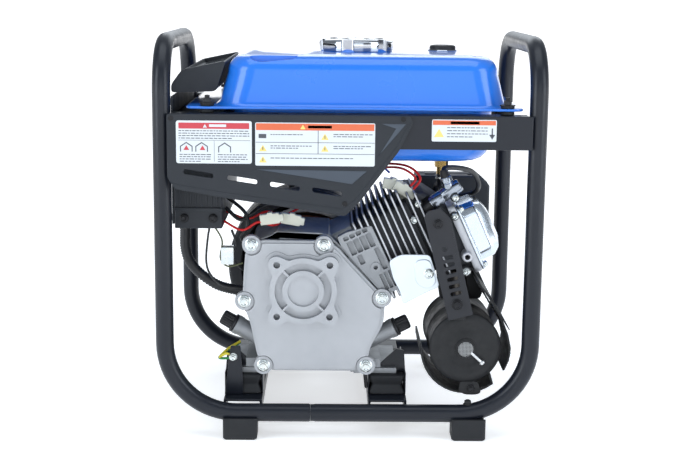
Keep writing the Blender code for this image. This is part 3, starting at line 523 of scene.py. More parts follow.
web_edge = [(-14, 246), on_barrel(78, 42), on_barrel(109, 37), on_barrel(110, -50), (47, 174), (38, 180),
            (4, 219), (-10, 236)]
web = slab("case_web", rounded_outline(web_edge, 2), -121.5, -108)
windows = [(72 + 8.4 * column, 79 + 8.4 * column, 12, 30) for column in range(4)]
windows += [(70.5 + 8.4 * column, 77 + 8.4 * column, 32.5, 37.5) for column in range(4)]
windows += [(77, 83.5, -3, 9.5), (100, 106, -20, 9.5), (92.5, 97, -45, -23), (98.5, 102.8, -45, -23),
            (104.3, 108, -45, -23)]
for low, high, bottom, top in windows:
    corners = [on_barrel(*spot) for spot in ((low, bottom), (high, bottom), (high, top), (low, top))]
    boolean(web, slab_bm(rounded_outline(corners, 1.5, 3), -126, -115.5), "DIFFERENCE")
boss_at = (33.7, -122.8, 208.7)
boolean(web, spun([(0, 0), (0, 6.6), (9, 7.2), (9, 0)], boss_at, (0, 1, 0), 28), "UNION")
boolean(web, spun([(-2, 0), (-2, 2.6), (8, 2.6), (8, 0)], boss_at, (0, 1, 0), 20), "DIFFERENCE")
soften(web, 0.5)
settle(web, block_alloy, "cast_alloy")
boolean(block, slab_bm(web_edge, -126, -112), "DIFFERENCE")
rim = slab(
    "case_rim", rounded_outline([(-113, 242), (-95, 247.5), (-90, 252), (-35, 251), (-24, 246), (2, 220),
        (-2, 216), (-28, 238), (-108, 238)], 2), -117.7, -112, 0.6)
settle(rim, block_alloy, "cast_alloy")

# --- Cooling fins -------------------------------------------------------------------------------
# Nine thin fins round the barrel, cast with it. The casting between them is painted near black as shade, and
# their rims carry a bright strip as a painted highlight. The head above them is painted in the same dark
# shade.
# A near-black copy of the aluminium, painted shade for the hollows between the fins; the head and its pads
# use it too.
painted_shade_alloy = paint("fin_casting_painted_shade", (0.035, 0.037, 0.042), (0.07, 0.073, 0.08), 0.55, 0.4, grain=1000, depth=0.1)
# A light copy of the same aluminium, a painted highlight on the fin rims, the head's joint plate and its ring
# boss.
painted_highlight_alloy = paint("fin_rim_painted_highlight", (0.42, 0.43, 0.46), (0.62, 0.63, 0.66), 0.4, 0.75, grain=1500, depth=0.05,
                   patches=60)


def barrel_plate(name, start, end, low, high, half, corner, material, middle=-60, bevel=0.4):
    """A rounded plate square to the cylinder, from start to end along it."""
    bm = bmesh.new()
    outline = rounded_outline([(low, middle - half), (low, middle + half), (high, middle + half),
                               (high, middle - half)], corner, 5)
    verts = []
    for h, y in outline:
        x, z = on_barrel(start, h)
        verts.append(bm.verts.new((x * MM, y * MM, z * MM)))
    face = bm.faces.new(verts)
    grown = bmesh.ops.extrude_face_region(bm, geom=[face])["geom"]
    moved = [part for part in grown if isinstance(part, bmesh.types.BMVert)]
    bmesh.ops.translate(bm, vec=ALONG * (end - start) * MM, verts=moved)
    bmesh.ops.recalc_face_normals(bm, faces=bm.faces)
    piece = finish_mesh(name, bm, bevel, 2)
    return settle(piece, material, "cast_alloy")


# The barrel core between the fins is painted dark as shade.
barrel_plate("barrel_core", 84.5, 159.9, -51, 47, 53, 10, painted_shade_alloy)
for number in range(9):
    s = 88 + 8 * number
    top = min(51 + 2.56 * number, 64)
    fin = barrel_plate(f"fin_{number}", s - 0.2, s + 3.2, -60.2, top + 0.2, 60.2, 8, painted_shade_alloy)
    # Each fin rim carries a bright strip, a painted highlight.
    fin_highlight = barrel_plate(f"fin_rim_painted_highlight_{number}", s + 0.5, s + 2.5, -60.7, top + 0.7, 60.7, 8.3, painted_highlight_alloy,
                            bevel=0.3)
    if s < 110:
        boolean(fin, slab_bm(web_edge, -126, -112), "DIFFERENCE")
        boolean(fin_highlight, slab_bm(web_edge, -126, -112), "DIFFERENCE")

# --- Cylinder head ------------------------------------------------------------------------------
# Cast aluminium with two fins of its own, held by zinc bolts through round pads, and a ring boss
# and screw low on its outer side. The bright pressed rocker cover closes it.
# The head casting is painted in the same dark shade as the fins.
head = refined("cylinder_head", painted_shade_alloy, "cast_alloy", 1.2)
cap_way = Vector((44.5, 0, 31)).normalized()
cap_side = Vector((-cap_way.z, 0, cap_way.x))
well = [
    Vector((93, 0, 280)) + cap_way * a + cap_side * b for a, b in ((-3, -10.5), (90, -10.5), (90, 30),
        (-3, 30))]
boolean(head, slab_bm([(spot.x, spot.z) for spot in well], -126, -104), "DIFFERENCE")
# The head's own two fins are painted dark as shade.
barrel_plate("head_fin_low", 163, 166, -60.6, 55.6, 58.8, 8, painted_shade_alloy)
barrel_plate("head_fin_high", 172, 175, -61, 54, 57.5, 8, painted_shade_alloy)
# The head fin rims and the joint plate are painted bright as a highlight.
barrel_plate("head_fin_low_rim_highlight", 163.5, 165.4, -61.2, 56.2, 59.3, 8, painted_highlight_alloy, bevel=0.3)
barrel_plate("head_fin_high_rim_highlight", 172.5, 174.4, -61.6, 54.6, 58, 8, painted_highlight_alloy, bevel=0.3)
barrel_plate("head_joint_plate", 203, 212, -76, 17, 48, 9, painted_highlight_alloy, bevel=0.8)
HEAD_FACE = -113
head_pads = ((80.4, 267.2, 8), (85, 287, 6.5), (131, 295, 6.5), (131, 272, 6.5))


def turned(name, profile, base, direction, material, slot, steps=32, body="generator"):
    """A round part spun from its profile, finished and put on its body."""
    settle(finish_mesh(name, spun(profile, base, direction, steps)), material, slot, body)


# The round pads and the small lug are painted in the dark shade.
for number, (x, z, across) in enumerate(head_pads):
    turned(f"head_pad_{number}", [(0, 0), (0, across * 0.8), (1, across * 0.85), (16, across * 0.85),
                                  (16, 0)], (x, HEAD_FACE, z), (0, 1, 0), painted_shade_alloy, "cast_alloy")
    flange_bolt(f"head_bolt_{number}", (x, HEAD_FACE, z), (0, -1, 0), across)
# The ring boss is painted bright as a highlight.
turned("head_ring_boss", [(-3, 3.4), (-3, 5.4), (-2, 6.4), (24, 6.8), (24, 3.4)], (147.6, -116, 221.7),
       (0, 1, 0), painted_highlight_alloy, "cast_alloy")
SMALL_BOLT = (147.1, -112, 202)
turned("head_small_lug", [(0, 0), (0, 6), (1, 6.4), (18, 6.4), (18, 0)], SMALL_BOLT, (0, 1, 0),
       painted_shade_alloy, "cast_alloy")
flange_bolt("head_small_bolt", SMALL_BOLT, (0, -1, 0), 7.5)
silver = paint("satin_chrome", (0.60, 0.66, 0.74), (0.70, 0.76, 0.82), 0.19, 1.0, grain=1400, depth=0.012,
               patches=6)
refined("rocker_cover", silver, "chrome", 5.0, 5, 20)
cover_flange = barrel_plate("rocker_flange", 212.4, 216.2, -76.6, 12.6, 46.6, 11, silver, bevel=0.9)
for number, (s, h, y) in enumerate(((216.2, -70, -101), (216.2, 6, -101), (216.2, -70, -19),
                                    (216.2, 6, -19))):
    x, z = on_barrel(s, h)
    flange_bolt(f"rocker_bolt_{number}", (x, y, z), ALONG, 7)

# --- Spark plug cap and lead --------------------------------------------------------------------
# A screened cap of two bright steel sleeves on black rubber boots, and a black rubber lead that
# loops over the head to the coil beside the fan.
plug_seat = Vector((93, -104, 280))
cap_elbow = Vector((137.5, -104, 311))
lead_exit = Vector((118, -104, 323))
screen_chrome = paint("screen_chrome", (0.30, 0.33, 0.38), (0.38, 0.41, 0.46), 0.24, 1.0, grain=900,
                      depth=0.01)
soft_black = paint("boot_rubber", (0.008, 0.008, 0.009), (0.018, 0.018, 0.02), 0.5, grain=1400, depth=0.04,
                   coat=0.2)
long_axis = (cap_elbow - plug_seat).normalized()
long_reach = (cap_elbow - plug_seat).length
turned("plug_boot", [(-2, 4.5), (-2, 6.6), (1, 7.6), (7, 7.2), (8, 7.6), (14, 7.6), (14, 4.5)], plug_seat,
       long_axis, soft_black, "black_rubber", 40)
sleeve_profile = [(11, 0), (11, 8.3), (12, 8.6), (26, 8.6), (26.8, 8.1), (28.2, 8.1), (29, 8.6),
                  (long_reach - 3, 8.6), (long_reach - 1, 8), (long_reach, 6.4), (long_reach, 0)]
settle(finish_mesh("plug_sleeve", spun(sleeve_profile, plug_seat, long_axis, 48)), screen_chrome, "chrome",
       "generator", "spark_plug_cap")
side_start = plug_seat + (cap_elbow - plug_seat) * 0.72
side_axis = (lead_exit - side_start).normalized()
side_reach = (lead_exit - side_start).length
turned("plug_side_sleeve", [(4, 0), (4, 7.4), (10, 7.4), (10.6, 6.9), (11.6, 6.9), (12.2, 7.4),
                            (side_reach - 4, 7.4), (side_reach - 3, 6.8), (side_reach - 3, 0)], side_start,
       side_axis, screen_chrome, "chrome", 40)
turned(
    "lead_boot", [(side_reach - 5, 0), (side_reach - 5, 6.3), (side_reach + 1, 5.6), (side_reach + 6, 4.2),
        (side_reach + 6, 0)], side_start, side_axis, soft_black, "black_rubber", 36)


def flowing(points, steps=8):
    """A smooth curve through points given in millimetres, returned in metres."""
    knots = [Vector(p) * MM for p in points]
    knots = [knots[0] * 2 - knots[1]] + knots + [knots[-1] * 2 - knots[-2]]
    route = []
    for a, b, c, d in zip(knots, knots[1:], knots[2:], knots[3:]):
        for step in range(steps):
            t = step / steps
            route.append(0.5 * (2 * b + (c - a) * t + (2 * a - 5 * b + 4 * c - d) * t ** 2
                                + (3 * b - a - 3 * c + d) * t ** 3))
    return route + [knots[-2]]


settle(tube("plug_lead", flowing([lead_exit, lead_exit + side_axis * 4, (119, -98, 330), (131, -84, 329),
                                  (146, -66, 325), (158, -50, 319), (165, -36, 309.5), (169.5, -24, 297),
                                  (166, 2, 284), (142, 11, 277), (104, 13, 276), (72, 20, 269),
                                  (55, 28, 256), (35, 40, 239)]), 0.0033), soft_black, "black_rubber",
       "generator", "ignition_lead")

# --- Heat deflector -----------------------------------------------------------------------------
# Pressed bright zinc sheet between the barrel and the muffler, with a raised inner panel and one
# bolt through it.
sheet_zinc = paint("bright_sheet", (0.62, 0.68, 0.74), (0.72, 0.77, 0.82), 0.33, 0.85, grain=1600, depth=0.02,
                   patches=12)
deflector = slab(
    "deflector_sheet", rounded_outline([(49, 221), (59, 227), (65, 229), (99, 229), (112, 189), (94, 181),
        (67, 166), (63, 184), (55, 198)], 5), -141, -139.2)
panel_edge = rounded_outline([(80, 222), (99, 224), (108, 194), (96, 186), (82, 194)], 9, 6)
boolean(deflector, slab_bm(panel_edge, -142.6, -140), "UNION")
soften(deflector, 0.5, 3)
settle(deflector, sheet_zinc, "zinc_steel", "generator", "heat_deflector")
flange_bolt("deflector_bolt", (98, -142.6, 206), (0, -1, 0), 9)

settle(
    slab("muffler_stay", rounded_outline([(104, 236), (152, 226), (176, 176), (170, 158), (118, 158),
        (112, 200)], 4), -72, -69.6, 0.5), phosphate, "heat_black")

# --- Oil plugs ----------------------------------------------------------------------------------
# Two black plastic plugs screwed into the necks, each with a fluted grip, a flat flange and a
# sealing ring. Each turns with its own joint.
hard_black = paint("moulded_black", (0.010, 0.010, 0.012), (0.020, 0.020, 0.023), 0.42, grain=1700,
                   depth=0.05)
necks = {
    "left": ((-112, -98, 113), Vector((-0.87, 0, 0.5)), 33.6), "right": ((20, -98, 107),
        Vector((0.9, 0, 0.45)), 44)}
for side_name, (foot, way, reach) in necks.items():
    mouth = Vector(foot) + way.normalized() * reach
    bm = spun([(0.4, 0), (0.4, 11.6), (1, 12), (3.4, 12), (4, 11.4), (4.4, 9.6), (17, 9.4), (18.4, 9.0),
               (19.6, 7.6), (19.6, 4.5), (18.6, 4), (18.6, 0)], mouth, way, 72)
    turn = way.to_track_quat("Z", "Y").to_matrix().to_4x4()
    back = (Matrix.Translation(mouth * MM) @ turn).inverted()
    for vert in bm.verts:
        spot = back @ vert.co
        radius = math.hypot(spot.x, spot.y) / MM
        if 7 < radius < 9.7:
            wave = 1 - 0.045 * (1 + math.cos(18 * math.atan2(spot.y, spot.x)))
            vert.co = back.inverted() @ Vector((spot.x * wave, spot.y * wave, spot.z))
    settle(finish_mesh(f"oil_plug_grip_{side_name}", bm, smooth=50), hard_black, "black_plastic",
           f"oil_plug_{side_name}", f"oil_plug_{side_name}")
    ring = finish_mesh(
        f"neck_ring_{side_name}", spun([(-7, 11), (-7, 12), (-0.6, 12.4), (-0.1, 12), (-0.1, 11)], mouth,
            way, 48))
    settle(ring, block_alloy, "cast_alloy")

# --- Muffler ------------------------------------------------------------------------------------
# Pressed steel drum with rolled seams, painted in matt black heat paint. Its front end carries the
# outlet, with a wire spark screen and a band clamp.
heat_paint = paint("heat_paint", (0.007, 0.0075, 0.009), (0.018, 0.018, 0.019), 0.56, 0.1, grain=1300,
                   depth=0.08, patches=22, spread=0.1)
screw_silver = paint("screw_steel", (0.56, 0.57, 0.58), (0.72, 0.72, 0.72), 0.28, 1.0, grain=1800, depth=0.02)
MUFFLER = (145, -149.5, 112.7)
drum_profile = [(0.3, 0), (0.3, 20), (2.2, 22), (2.2, 30), (1.2, 32), (1.2, 38), (3.6, 41.6), (5.2, 44.1),
                (7, 44.6), (9, 44.1), (10.5, 43.3), (60, 43.3), (62, 44), (64, 43.3), (118, 43.3),
                (120, 44.2), (122, 44.5), (124, 44), (126, 41.6), (129, 36), (129, 0)]
settle(finish_mesh("muffler_drum", spun(drum_profile, MUFFLER, (0, 1, 0), 96), smooth=50), heat_paint,
       "heat_black", "generator", "muffler")
turned("muffler_spout", [(-2.4, 9.6), (-2.4, 11.8), (-1.6, 12.3), (0.6, 12.6), (1.2, 15), (2.4, 16),
                         (2.4, 9.6)], MUFFLER, (0, 1, 0), heat_paint, "heat_black", 64)
turned("muffler_throat", [(-0.2, 0), (-0.2, 9.7), (0.6, 9.7), (0.6, 0)], MUFFLER, (0, 1, 0), soft_black,
       "heat_black", 40)


def mesh_disc(name, centre, radius, pitch, wire):
    """A round piece of woven wire screen square to y."""
    bm = bmesh.new()
    count = int(radius / pitch)
    for number in range(-count, count + 1):
        half = math.sqrt(max(radius ** 2 - (number * pitch) ** 2, 0))
        for start, way in (((centre[0] + number * pitch, centre[1], centre[2] - half), (0, 0, 1)),
                           ((centre[0] - half, centre[1] - wire, centre[2] + number * pitch), (1, 0, 0))):
            if half > pitch:
                absorb(bm, spun([(0, 0), (0, wire), (2 * half, wire), (2 * half, 0)], start, way, 6))
    return finish_mesh(name, bm)


screen = mesh_disc("spark_screen", (145, -151, 112.7), 9.4, 1.7, 0.32)
settle(screen, screw_silver, "steel")
turned("outlet_band", [(-1.9, 12.3), (-1.9, 13.2), (1, 13.4), (1, 12.3)], MUFFLER, (0, 1, 0), heat_paint,
       "heat_black", 56)
settle(slab("band_clamp", rounded_outline([(150.5, 108), (155, 110.5), (166, 99.5), (161, 96)], 1.5),
            -151.9, -149.2, 0.4), heat_paint, "heat_black")
turned("clamp_screw", [(0, 0), (0, 1.9), (17, 1.9), (17, 3.3), (18, 3.6), (20, 3.6), (20.6, 3), (20.6, 0)],
       (151.5, -151.0, 108.5), (0.74, 0, -0.67), screw_silver, "steel", 24)
settle(slab("muffler_tab", rounded_outline([(124, 177), (142, 177), (144, 150), (122, 150)], 3), -152.1,
            -149.6, 0.5), heat_paint, "heat_black")

# --- Muffler strap ------------------------------------------------------------------------------
# Slotted flat steel bar, painted black, bolted to the head at the top and the drum's tab below.
# Six slots and a round hole are punched through it, and a spacer holds its top off the head.
strap_top = Vector((107, 274))
strap_end = Vector((133, 171))
along = (strap_end - strap_top).normalized()
side = Vector((-along.y, along.x))


def on_strap(reach, width):
    spot = strap_top + along * reach + side * width
    return spot.x, spot.y


satin_black = paint("satin_black", (0.012, 0.013, 0.017), (0.018, 0.019, 0.024), 0.42, grain=1200, depth=0.05)
strap = slab(
    "slotted_strap", rounded_outline([on_strap(*p) for p in ((-14, 6), (-14, -10), (-8, -15.5),
        (124, -15.5), (124, 15.5), (2, 15.5))], 2, 4), -155, -152.7)
for number in range(6):
    ends = [(47 + 9.2 * number + a, 1 + b) for a, b in ((-2.4, -6.8), (2.4, -6.8), (2.4, 6.8), (-2.4, 6.8))]
    boolean(strap, slab_bm(rounded_outline([on_strap(*p) for p in ends], 2.4, 5), -158, -150), "DIFFERENCE")
hole = on_strap(36, 0)
boolean(strap, spun([(0, 0), (0, 2.9), (9, 2.9), (9, 0)], (hole[0], -158, hole[1]), (0, 1, 0), 24),
        "DIFFERENCE")
soften(strap, 0.45)
settle(strap, satin_black, "black_paint", "generator", "muffler_strap")
flange_bolt("strap_bolt_top", (107, -155, 270), (0, -1, 0), 8.5, phosphate, "black_paint")
flange_bolt("strap_bolt_low", (132.5, -155, 170.5), (0, -1, 0), 10, phosphate, "black_paint")
# The spacer is painted in the dark shade as well.
turned("strap_spacer", [(0, 0), (0, 7.5), (34, 7.5), (34, 0)], (107, -152.6, 272), (0, 1, 0), painted_shade_alloy,
       "cast_alloy")

# --- Muffler guards and exhaust pipe ------------------------------------------------------------
# A folded cradle under the drum and a wire screen on its outer side keep hands off the hot
# parts. Both are thin steel in the same matt black; a plain steel pipe joins the head to the drum.
refined("muffler_guard", heat_paint, "heat_black", 0.5)
refined("muffler_screen", heat_paint, "heat_black", 0.35)
settle(
    slab("guard_tab", rounded_outline([(139, 70), (162, 70), (166, 55.5), (160, 53), (146, 53), (138, 57)],
        4), -145.5, -143.2, 0.4), heat_paint, "heat_black")
flange_bolt("guard_bolt", (153, -145.5, 62), (0, -1, 0), 7, phosphate, "heat_black")
flange_bolt("screen_bolt", (200.1, -118, 97.8), (1, 0, -0.12), 7, zinc)
mesh_piece = bmesh.new()
for row in range(13):
    for start, way, reach in (((157 + 2.9 * row, -147, 196 - 4.8 * row), (0, 1, 0), 80),
                              ((160, -146 + 6.4 * row, 195), (0.55, 0, -0.83), 70)):
        absorb(mesh_piece, spun([(0, 0), (0, 0.75), (reach, 0.75), (reach, 0)], start, way, 6))
settle(finish_mesh("screen_lattice", mesh_piece), heat_paint, "heat_black")
exhaust_steel = paint("exhaust_steel", (0.05, 0.045, 0.04), (0.11, 0.10, 0.09), 0.38, 1.0, grain=900,
                      depth=0.05, patches=40)
settle(tube("exhaust_bend", flowing([(140, -80, 197), (142, -80, 178), (145, -80, 158.5)], 10), 0.010),
       exhaust_steel, "steel", "generator", "exhaust_pipe")

# --- Fuel tank ----------------------------------------------------------------------------------
# Two deep-drawn steel shells seamed at a thin flange, sprayed in glossy blue. The top has a low
# raised deck and a small recess in its front edge; the filler neck is rolled up out of it.
blue = paint("tank_blue", (0.012, 0.155, 0.66), (0.016, 0.180, 0.72), 0.30, grain=420, depth=0.012, patches=3,
             coat=0.7, spread=0.04)


def corner_ring(x0, x1, half, radius, z, steps=9):
    """A rounded rectangle at a height, all in millimetres."""
    points = []
    for cx, cy, start in ((x1 - radius, half - radius, 0), (x0 + radius, half - radius, 90),
                          (x0 + radius, radius - half, 180), (x1 - radius, radius - half, 270)):
        for step in range(steps + 1):
            turn = math.radians(start + 90 * step / steps)
            points.append(((cx + radius * math.cos(turn)) * MM, (cy + radius * math.sin(turn)) * MM, z * MM))
    return points


def stacked(rings):
    """A closed shape through rings with the same number of points."""
    bm = bmesh.new()
    rows = [[bm.verts.new(p) for p in ring] for ring in rings]
    for low, high in zip(rows, rows[1:]):
        for i in range(len(low)):
            j = (i + 1) % len(low)
            bm.faces.new((low[i], low[j], high[j], high[i]))
    bm.faces.new(list(reversed(rows[0])))
    bm.faces.new(rows[-1])
    bmesh.ops.recalc_face_normals(bm, faces=bm.faces)
    return bm


bowl = [corner_ring(-142 + a, 174 - a, 132 - a, 36 - a * 0.4, z)
        for z, a in ((340.2, 22), (341.5, 16), (344.5, 10), (350, 5), (358, 2), (372, 0.6), (405.8, 0))]
settle(finish_mesh("tank_bowl", stacked(bowl), smooth=45), blue, "blue_paint")
settle(
    finish_mesh("tank_flange", stacked([corner_ring(-195, 206, 158, 12, 406), corner_ring(-195, 206, 158,
        12, 409)]), 0.9, 3), blue, "blue_paint")
dome_rows = []
for z, a in ((408.5, -5), (409.6, -2.4), (411.4, -0.6), (414, 0.3), (419, 1.5), (432, 4.6), (446, 8)):
    dome_rows.append(corner_ring(-158 + a * 1.15, 188 - a, 144 - a * 0.7, 36, z))
for step in range(1, 9):
    turn = math.pi / 2 * step / 8
    fall, rise = 20 * (1 - math.cos(turn)), 21.5 * math.sin(turn)
    dome_rows.append(corner_ring(-148.8 + fall, 180 - fall, 138.4 - fall, 36 - fall * 0.5, 446.5 + rise))
dome = finish_mesh("tank_dome", stacked(dome_rows), smooth=180)
deck = [
    corner_ring(-58 - a, 150 + a, 112 + a, 14, z) for z, a in ((466, 9), (467.9, 4), (468.7, 1), (469, -3))]
boolean(dome, stacked(deck), "UNION")
notch_edge = [(-124, 475), (-120, 463), (-108, 460), (-66, 464), (-58, 475)]
boolean(dome, slab_bm(rounded_outline(notch_edge, 5, 5), -150, -121), "DIFFERENCE")
soften(dome, 1.6, 4, 24)
settle(dome, blue, "blue_paint", "generator", "fuel_tank")
settle(
    finish_mesh("tank_neck", spun([(-1, 30), (-1, 49), (1, 46), (3.5, 42.5), (6.5, 41), (6.9, 40),
        (6.9, 30)], (9, -10, 468), (0, 0, 1), 96), smooth=50), blue, "blue_paint")

# --- Fuel cap -----------------------------------------------------------------------------------
# Pressed steel cap, bright chrome, with six squared finger notches round its domed rim. It turns
# a quarter to unlock.
mirror = paint("mirror_chrome", (0.40, 0.42, 0.46), (0.46, 0.48, 0.52), 0.10, 1.0, grain=500, depth=0.006)
cap = finish_mesh(
    "fuel_cap_shell", spun([(7.3, 0), (7.3, 41.5), (1.6, 42), (1.3, 45.6), (2.2, 46.6), (11.5, 47.8),
        (13.6, 47.2), (15.4, 45), (16.4, 42), (17.2, 36), (16.2, 32), (16.4, 20), (17.6, 12), (18.2, 0)],
        (9, -10, 468), (0, 0, 1), 96))
for number in range(6):
    turn = math.radians(60 * number + 15)
    bm = bmesh.new()
    bmesh.ops.create_cube(bm, size=1.0)
    bmesh.ops.transform(bm, matrix=Matrix.Diagonal((0.012, 0.017, 0.030, 1)), verts=bm.verts)
    upright = [edge for edge in bm.edges if abs(edge.verts[0].co.z - edge.verts[1].co.z) > 0.02]
    bmesh.ops.bevel(bm, geom=upright, offset=0.004, segments=4, profile=0.5, affect="EDGES", material=-1)
    spot = Matrix.Translation((0.009 + 0.048 * math.cos(turn), -0.010 + 0.048 * math.sin(turn), 0.478))
    bmesh.ops.transform(bm, matrix=spot @ Matrix.Rotation(turn, 4, "Z"), verts=bm.verts)
    boolean(cap, bm, "DIFFERENCE")
soften(cap, 0.9, 3)
settle(cap, mirror, "chrome", "cap", "fuel_cap")

# --- Fuel gauge ---------------------------------------------------------------------------------
# A moulded black float gauge pushed into the tank's top, with a chrome bezel round its face. Its
# clear window and its float are not drawn.
settle(
    finish_mesh("gauge_body", spun([(0.3, 0), (0.3, 17), (5.6, 17), (7.4, 16.2), (8.2, 14.4), (8.6, 12),
        (8.6, 0)], (122, 20, 468), (0, 0, 1), 56), smooth=50), hard_black, "black_plastic", "generator",
    "fuel_gauge")
turned("gauge_bezel", [(0.4, 17), (0.4, 18.4), (1.4, 18.8), (2.4, 18.2), (2.6, 17)], (122, 20, 468),
       (0, 0, 1), mirror, "chrome", 56)

# --- Tank bushes and rails ----------------------------------------------------------------------
# Rubber bushes grip the flange at its corners, each with a black stud, washer and nut. They stand
# on two folded rails that cross the outside of the uprights, powder coated like the frame.
for end, y in (("front", -149), ("rear", 149)):
    for side_name, x in (("left", -170), ("right", 187)):
        refined(f"tank_bush_{end}_{side_name}", rubber, "black_rubber", 1.2, 3)
        settle(
            finish_mesh(f"bush_washer_{end}_{side_name}", spun([(12, 0), (12, 9.4), (13.4, 9.4), (13.4, 0)],
                (x, y, 400), (0, 0, 1), 40), 0.3), phosphate, "black_paint")
        nut = hexagon((x, y, 400), (0, 0, 1), 9, 5, 13.4)
        absorb(nut, spun([(10, 0), (10, 3), (21.4, 3), (22, 2.4), (22, 0)], (x, y, 400), (0, 0, 1), 24))
        settle(finish_mesh(f"bush_stud_{end}_{side_name}", nut), phosphate, "black_paint")
    refined(f"tank_rail_{end}", powder_coat, "black_paint", 0.9, 3)

# --- Side covers --------------------------------------------------------------------------------
# Injection-moulded covers in dark grey, finely textured, screwed outside the rails: four sloping
# vents, a lighter sloping inlay, and a lighter dart-shaped mark at the narrow end.
moulded_grey = paint("moulded_grey", (0.013, 0.016, 0.021), (0.018, 0.021, 0.027), 0.5, grain=2600,
                     depth=0.06)
inlay_grey = paint("inlay_grey", (0.050, 0.062, 0.082), (0.060, 0.074, 0.094), 0.5, grain=2600, depth=0.05)
COVER_SHAPE = [(-216, 326), (-207, 312), (-150, 302), (-5, 281), (13, 300), (58, 360), (74, 393), (70, 400.6),
               (-216, 400.6)]
COVER_FACE = 170.0


def cover_depths(way, near, far):
    """Two distances from the middle of the machine, low first, on the side that way points to."""
    return sorted((way * near, way * far))


for end, way in (("front", -1), ("rear", 1)):
    cover_piece = slab(
        f"side_cover_shell_{end}", rounded_outline(COVER_SHAPE, 3, 4),
        *cover_depths(way, 166.7, COVER_FACE))
    for x, z in ((-179, 330.6), (-127.3, 323.6), (-77, 316.2), (-27, 310)):
        ends = [(x - 17.4, z + 5.6), (x + 17.6, z + 0.2), (x + 17.2, z - 5.4), (x - 17.8, z - 0.2)]
        boolean(cover_piece, slab_bm(rounded_outline(ends, 2.7, 5), *cover_depths(way, 160, 175)),
                "DIFFERENCE")
    wedge = [(-111, 336.4), (20, 335.2), (2.4, 319.5)]
    chevron = [(36.5, 391.5), (65.4, 391.3), (34, 354.4), (53.5, 386)]
    for outline in (wedge, chevron):
        boolean(cover_piece, slab_bm(outline, *cover_depths(way, 169.3, 175)), "DIFFERENCE")
    soften(cover_piece, 0.8, 3)
    settle(cover_piece, moulded_grey, "black_plastic", "generator", f"side_cover_{end}")
    for label, outline in (("wedge", wedge), ("chevron", chevron)):
        settle(slab(f"side_{label}_{end}", outline, *cover_depths(way, 168.8, 169.7), 0.15), inlay_grey,
               "grey_plastic")
    settle(
        slab(f"side_lip_{end}", rounded_outline([(-214, 322), (-206, 312.5), (-150, 303), (-6, 282.5),
            (12, 301), (57, 361), (72.5, 393), (68.5, 393), (53, 362), (8, 303), (-8, 290), (-150, 309),
            (-203, 317.5)], 1.5), *cover_depths(way, 169.6, 170.3), 0.3), moulded_grey, "black_plastic")
    for number, (x, z) in enumerate(((-211, 396), (62, 397), (-6, 296))):
        turned(
            f"side_screw_{end}_{number}", [(0, 0), (0, 3.3), (0.3, 3.2), (0.45, 2.4), (0.1, 1.2), (0.1, 0)],
            (x, way * COVER_FACE, z), (0, way, 0), phosphate, "black_paint", 24)

# --- Labels -------------------------------------------------------------------------------------
# Printed polyester labels on the front cover and rail, drawn without any words: plain bars stand
# for lines of print, with simple houses, triangles and one arrow as pictures.
label_white = paint("label_white", (0.62, 0.65, 0.68), (0.66, 0.69, 0.71), 0.42, grain=600, depth=0.005)
label_red = paint("label_red", (0.50, 0.05, 0.065), (0.54, 0.06, 0.075), 0.42, grain=600, depth=0.005)
label_orange = paint("label_orange", (0.64, 0.13, 0.055), (0.67, 0.15, 0.065), 0.42, grain=600, depth=0.005)
label_yellow = paint("label_yellow", (0.78, 0.60, 0.16), (0.80, 0.62, 0.20), 0.42, grain=600, depth=0.005)
label_ink = paint("label_ink", (0.07, 0.075, 0.09), (0.09, 0.095, 0.11), 0.45, grain=600, depth=0.005)
chance = random.Random(7)


def printed(name, shapes, near, far, material, slot="grey_plastic"):
    bm = bmesh.new()
    for outline in shapes:
        absorb(bm, slab_bm(outline, near, far))
    return settle(finish_mesh(name, bm), material, slot)


def box_shape(x0, x1, z0, z1):
    return [(x0, z0), (x1, z0), (x1, z1), (x0, z1)]


def text_bars(x0, x1, top, rows, pitch=2.6, height=0.95):
    """Rows of short bars that stand for lines of print."""
    bars = []
    for row in range(rows):
        z = top - row * pitch
        x = x0
        end = x1 - (chance.uniform(0.1, 0.4) * (x1 - x0) if row == rows - 1 else 0)
        while x < end - 1.5:
            reach = min(chance.uniform(1.8, 6.0), end - x)
            bars.append(box_shape(x, x + reach, z - height, z))
            x += reach + 1.0
    return bars


def triangle(x, z, size):
    return [(x - size, z - size * 0.8), (x + size, z - size * 0.8), (x, z + size * 0.85)]


def house(x, z, size):
    return [
        (x - size, z - size * 0.7), (x - size * 0.84, z - size * 0.7), (x - size * 0.84, z + size * 0.1),
        (x, z + size * 0.66), (x + size * 0.84, z + size * 0.1), (x + size * 0.84, z - size * 0.7),
        (x + size, z - size * 0.7), (x + size, z + size * 0.2), (x, z + size * 0.86),
        (x - size, z + size * 0.2)]


printed("label_one_sheet", [rounded_outline(box_shape(-205, -116, 343, 393.5), 3)], -170.25, -169.8,
        label_white)
printed("label_one_header", [rounded_outline(box_shape(-202, -119, 384, 391), 0.6)], -170.33, -170.2,
        label_red)
printed("label_one_mark", [triangle(-171, 387.3, 2.4), box_shape(-166, -146, 386.2, 389.2)], -170.4, -170.3,
        label_white)
printed(
    "label_one_print", text_bars(-202, -119, 382, 4, 2.9) + text_bars(-201, -162, 354, 4,
        2.7) + text_bars(-156, -121, 354, 4, 2.7) + [house(-193, 362, 7.4), house(-175, 362, 7.4),
        house(-148, 361.5, 7.6)] + [box_shape(-160.4, -160, 345, 370), box_shape(-203, -118, 370.2, 370.6)],
    -170.33, -170.2, label_ink)
printed("label_one_bans", [triangle(-193, 361.5, 3.4), triangle(-174, 361.5, 3.4)], -170.37, -170.28,
        label_red)
printed("label_two_sheet", [rounded_outline(box_shape(-112, 29, 341, 392), 2)], -170.25, -169.8, label_white)
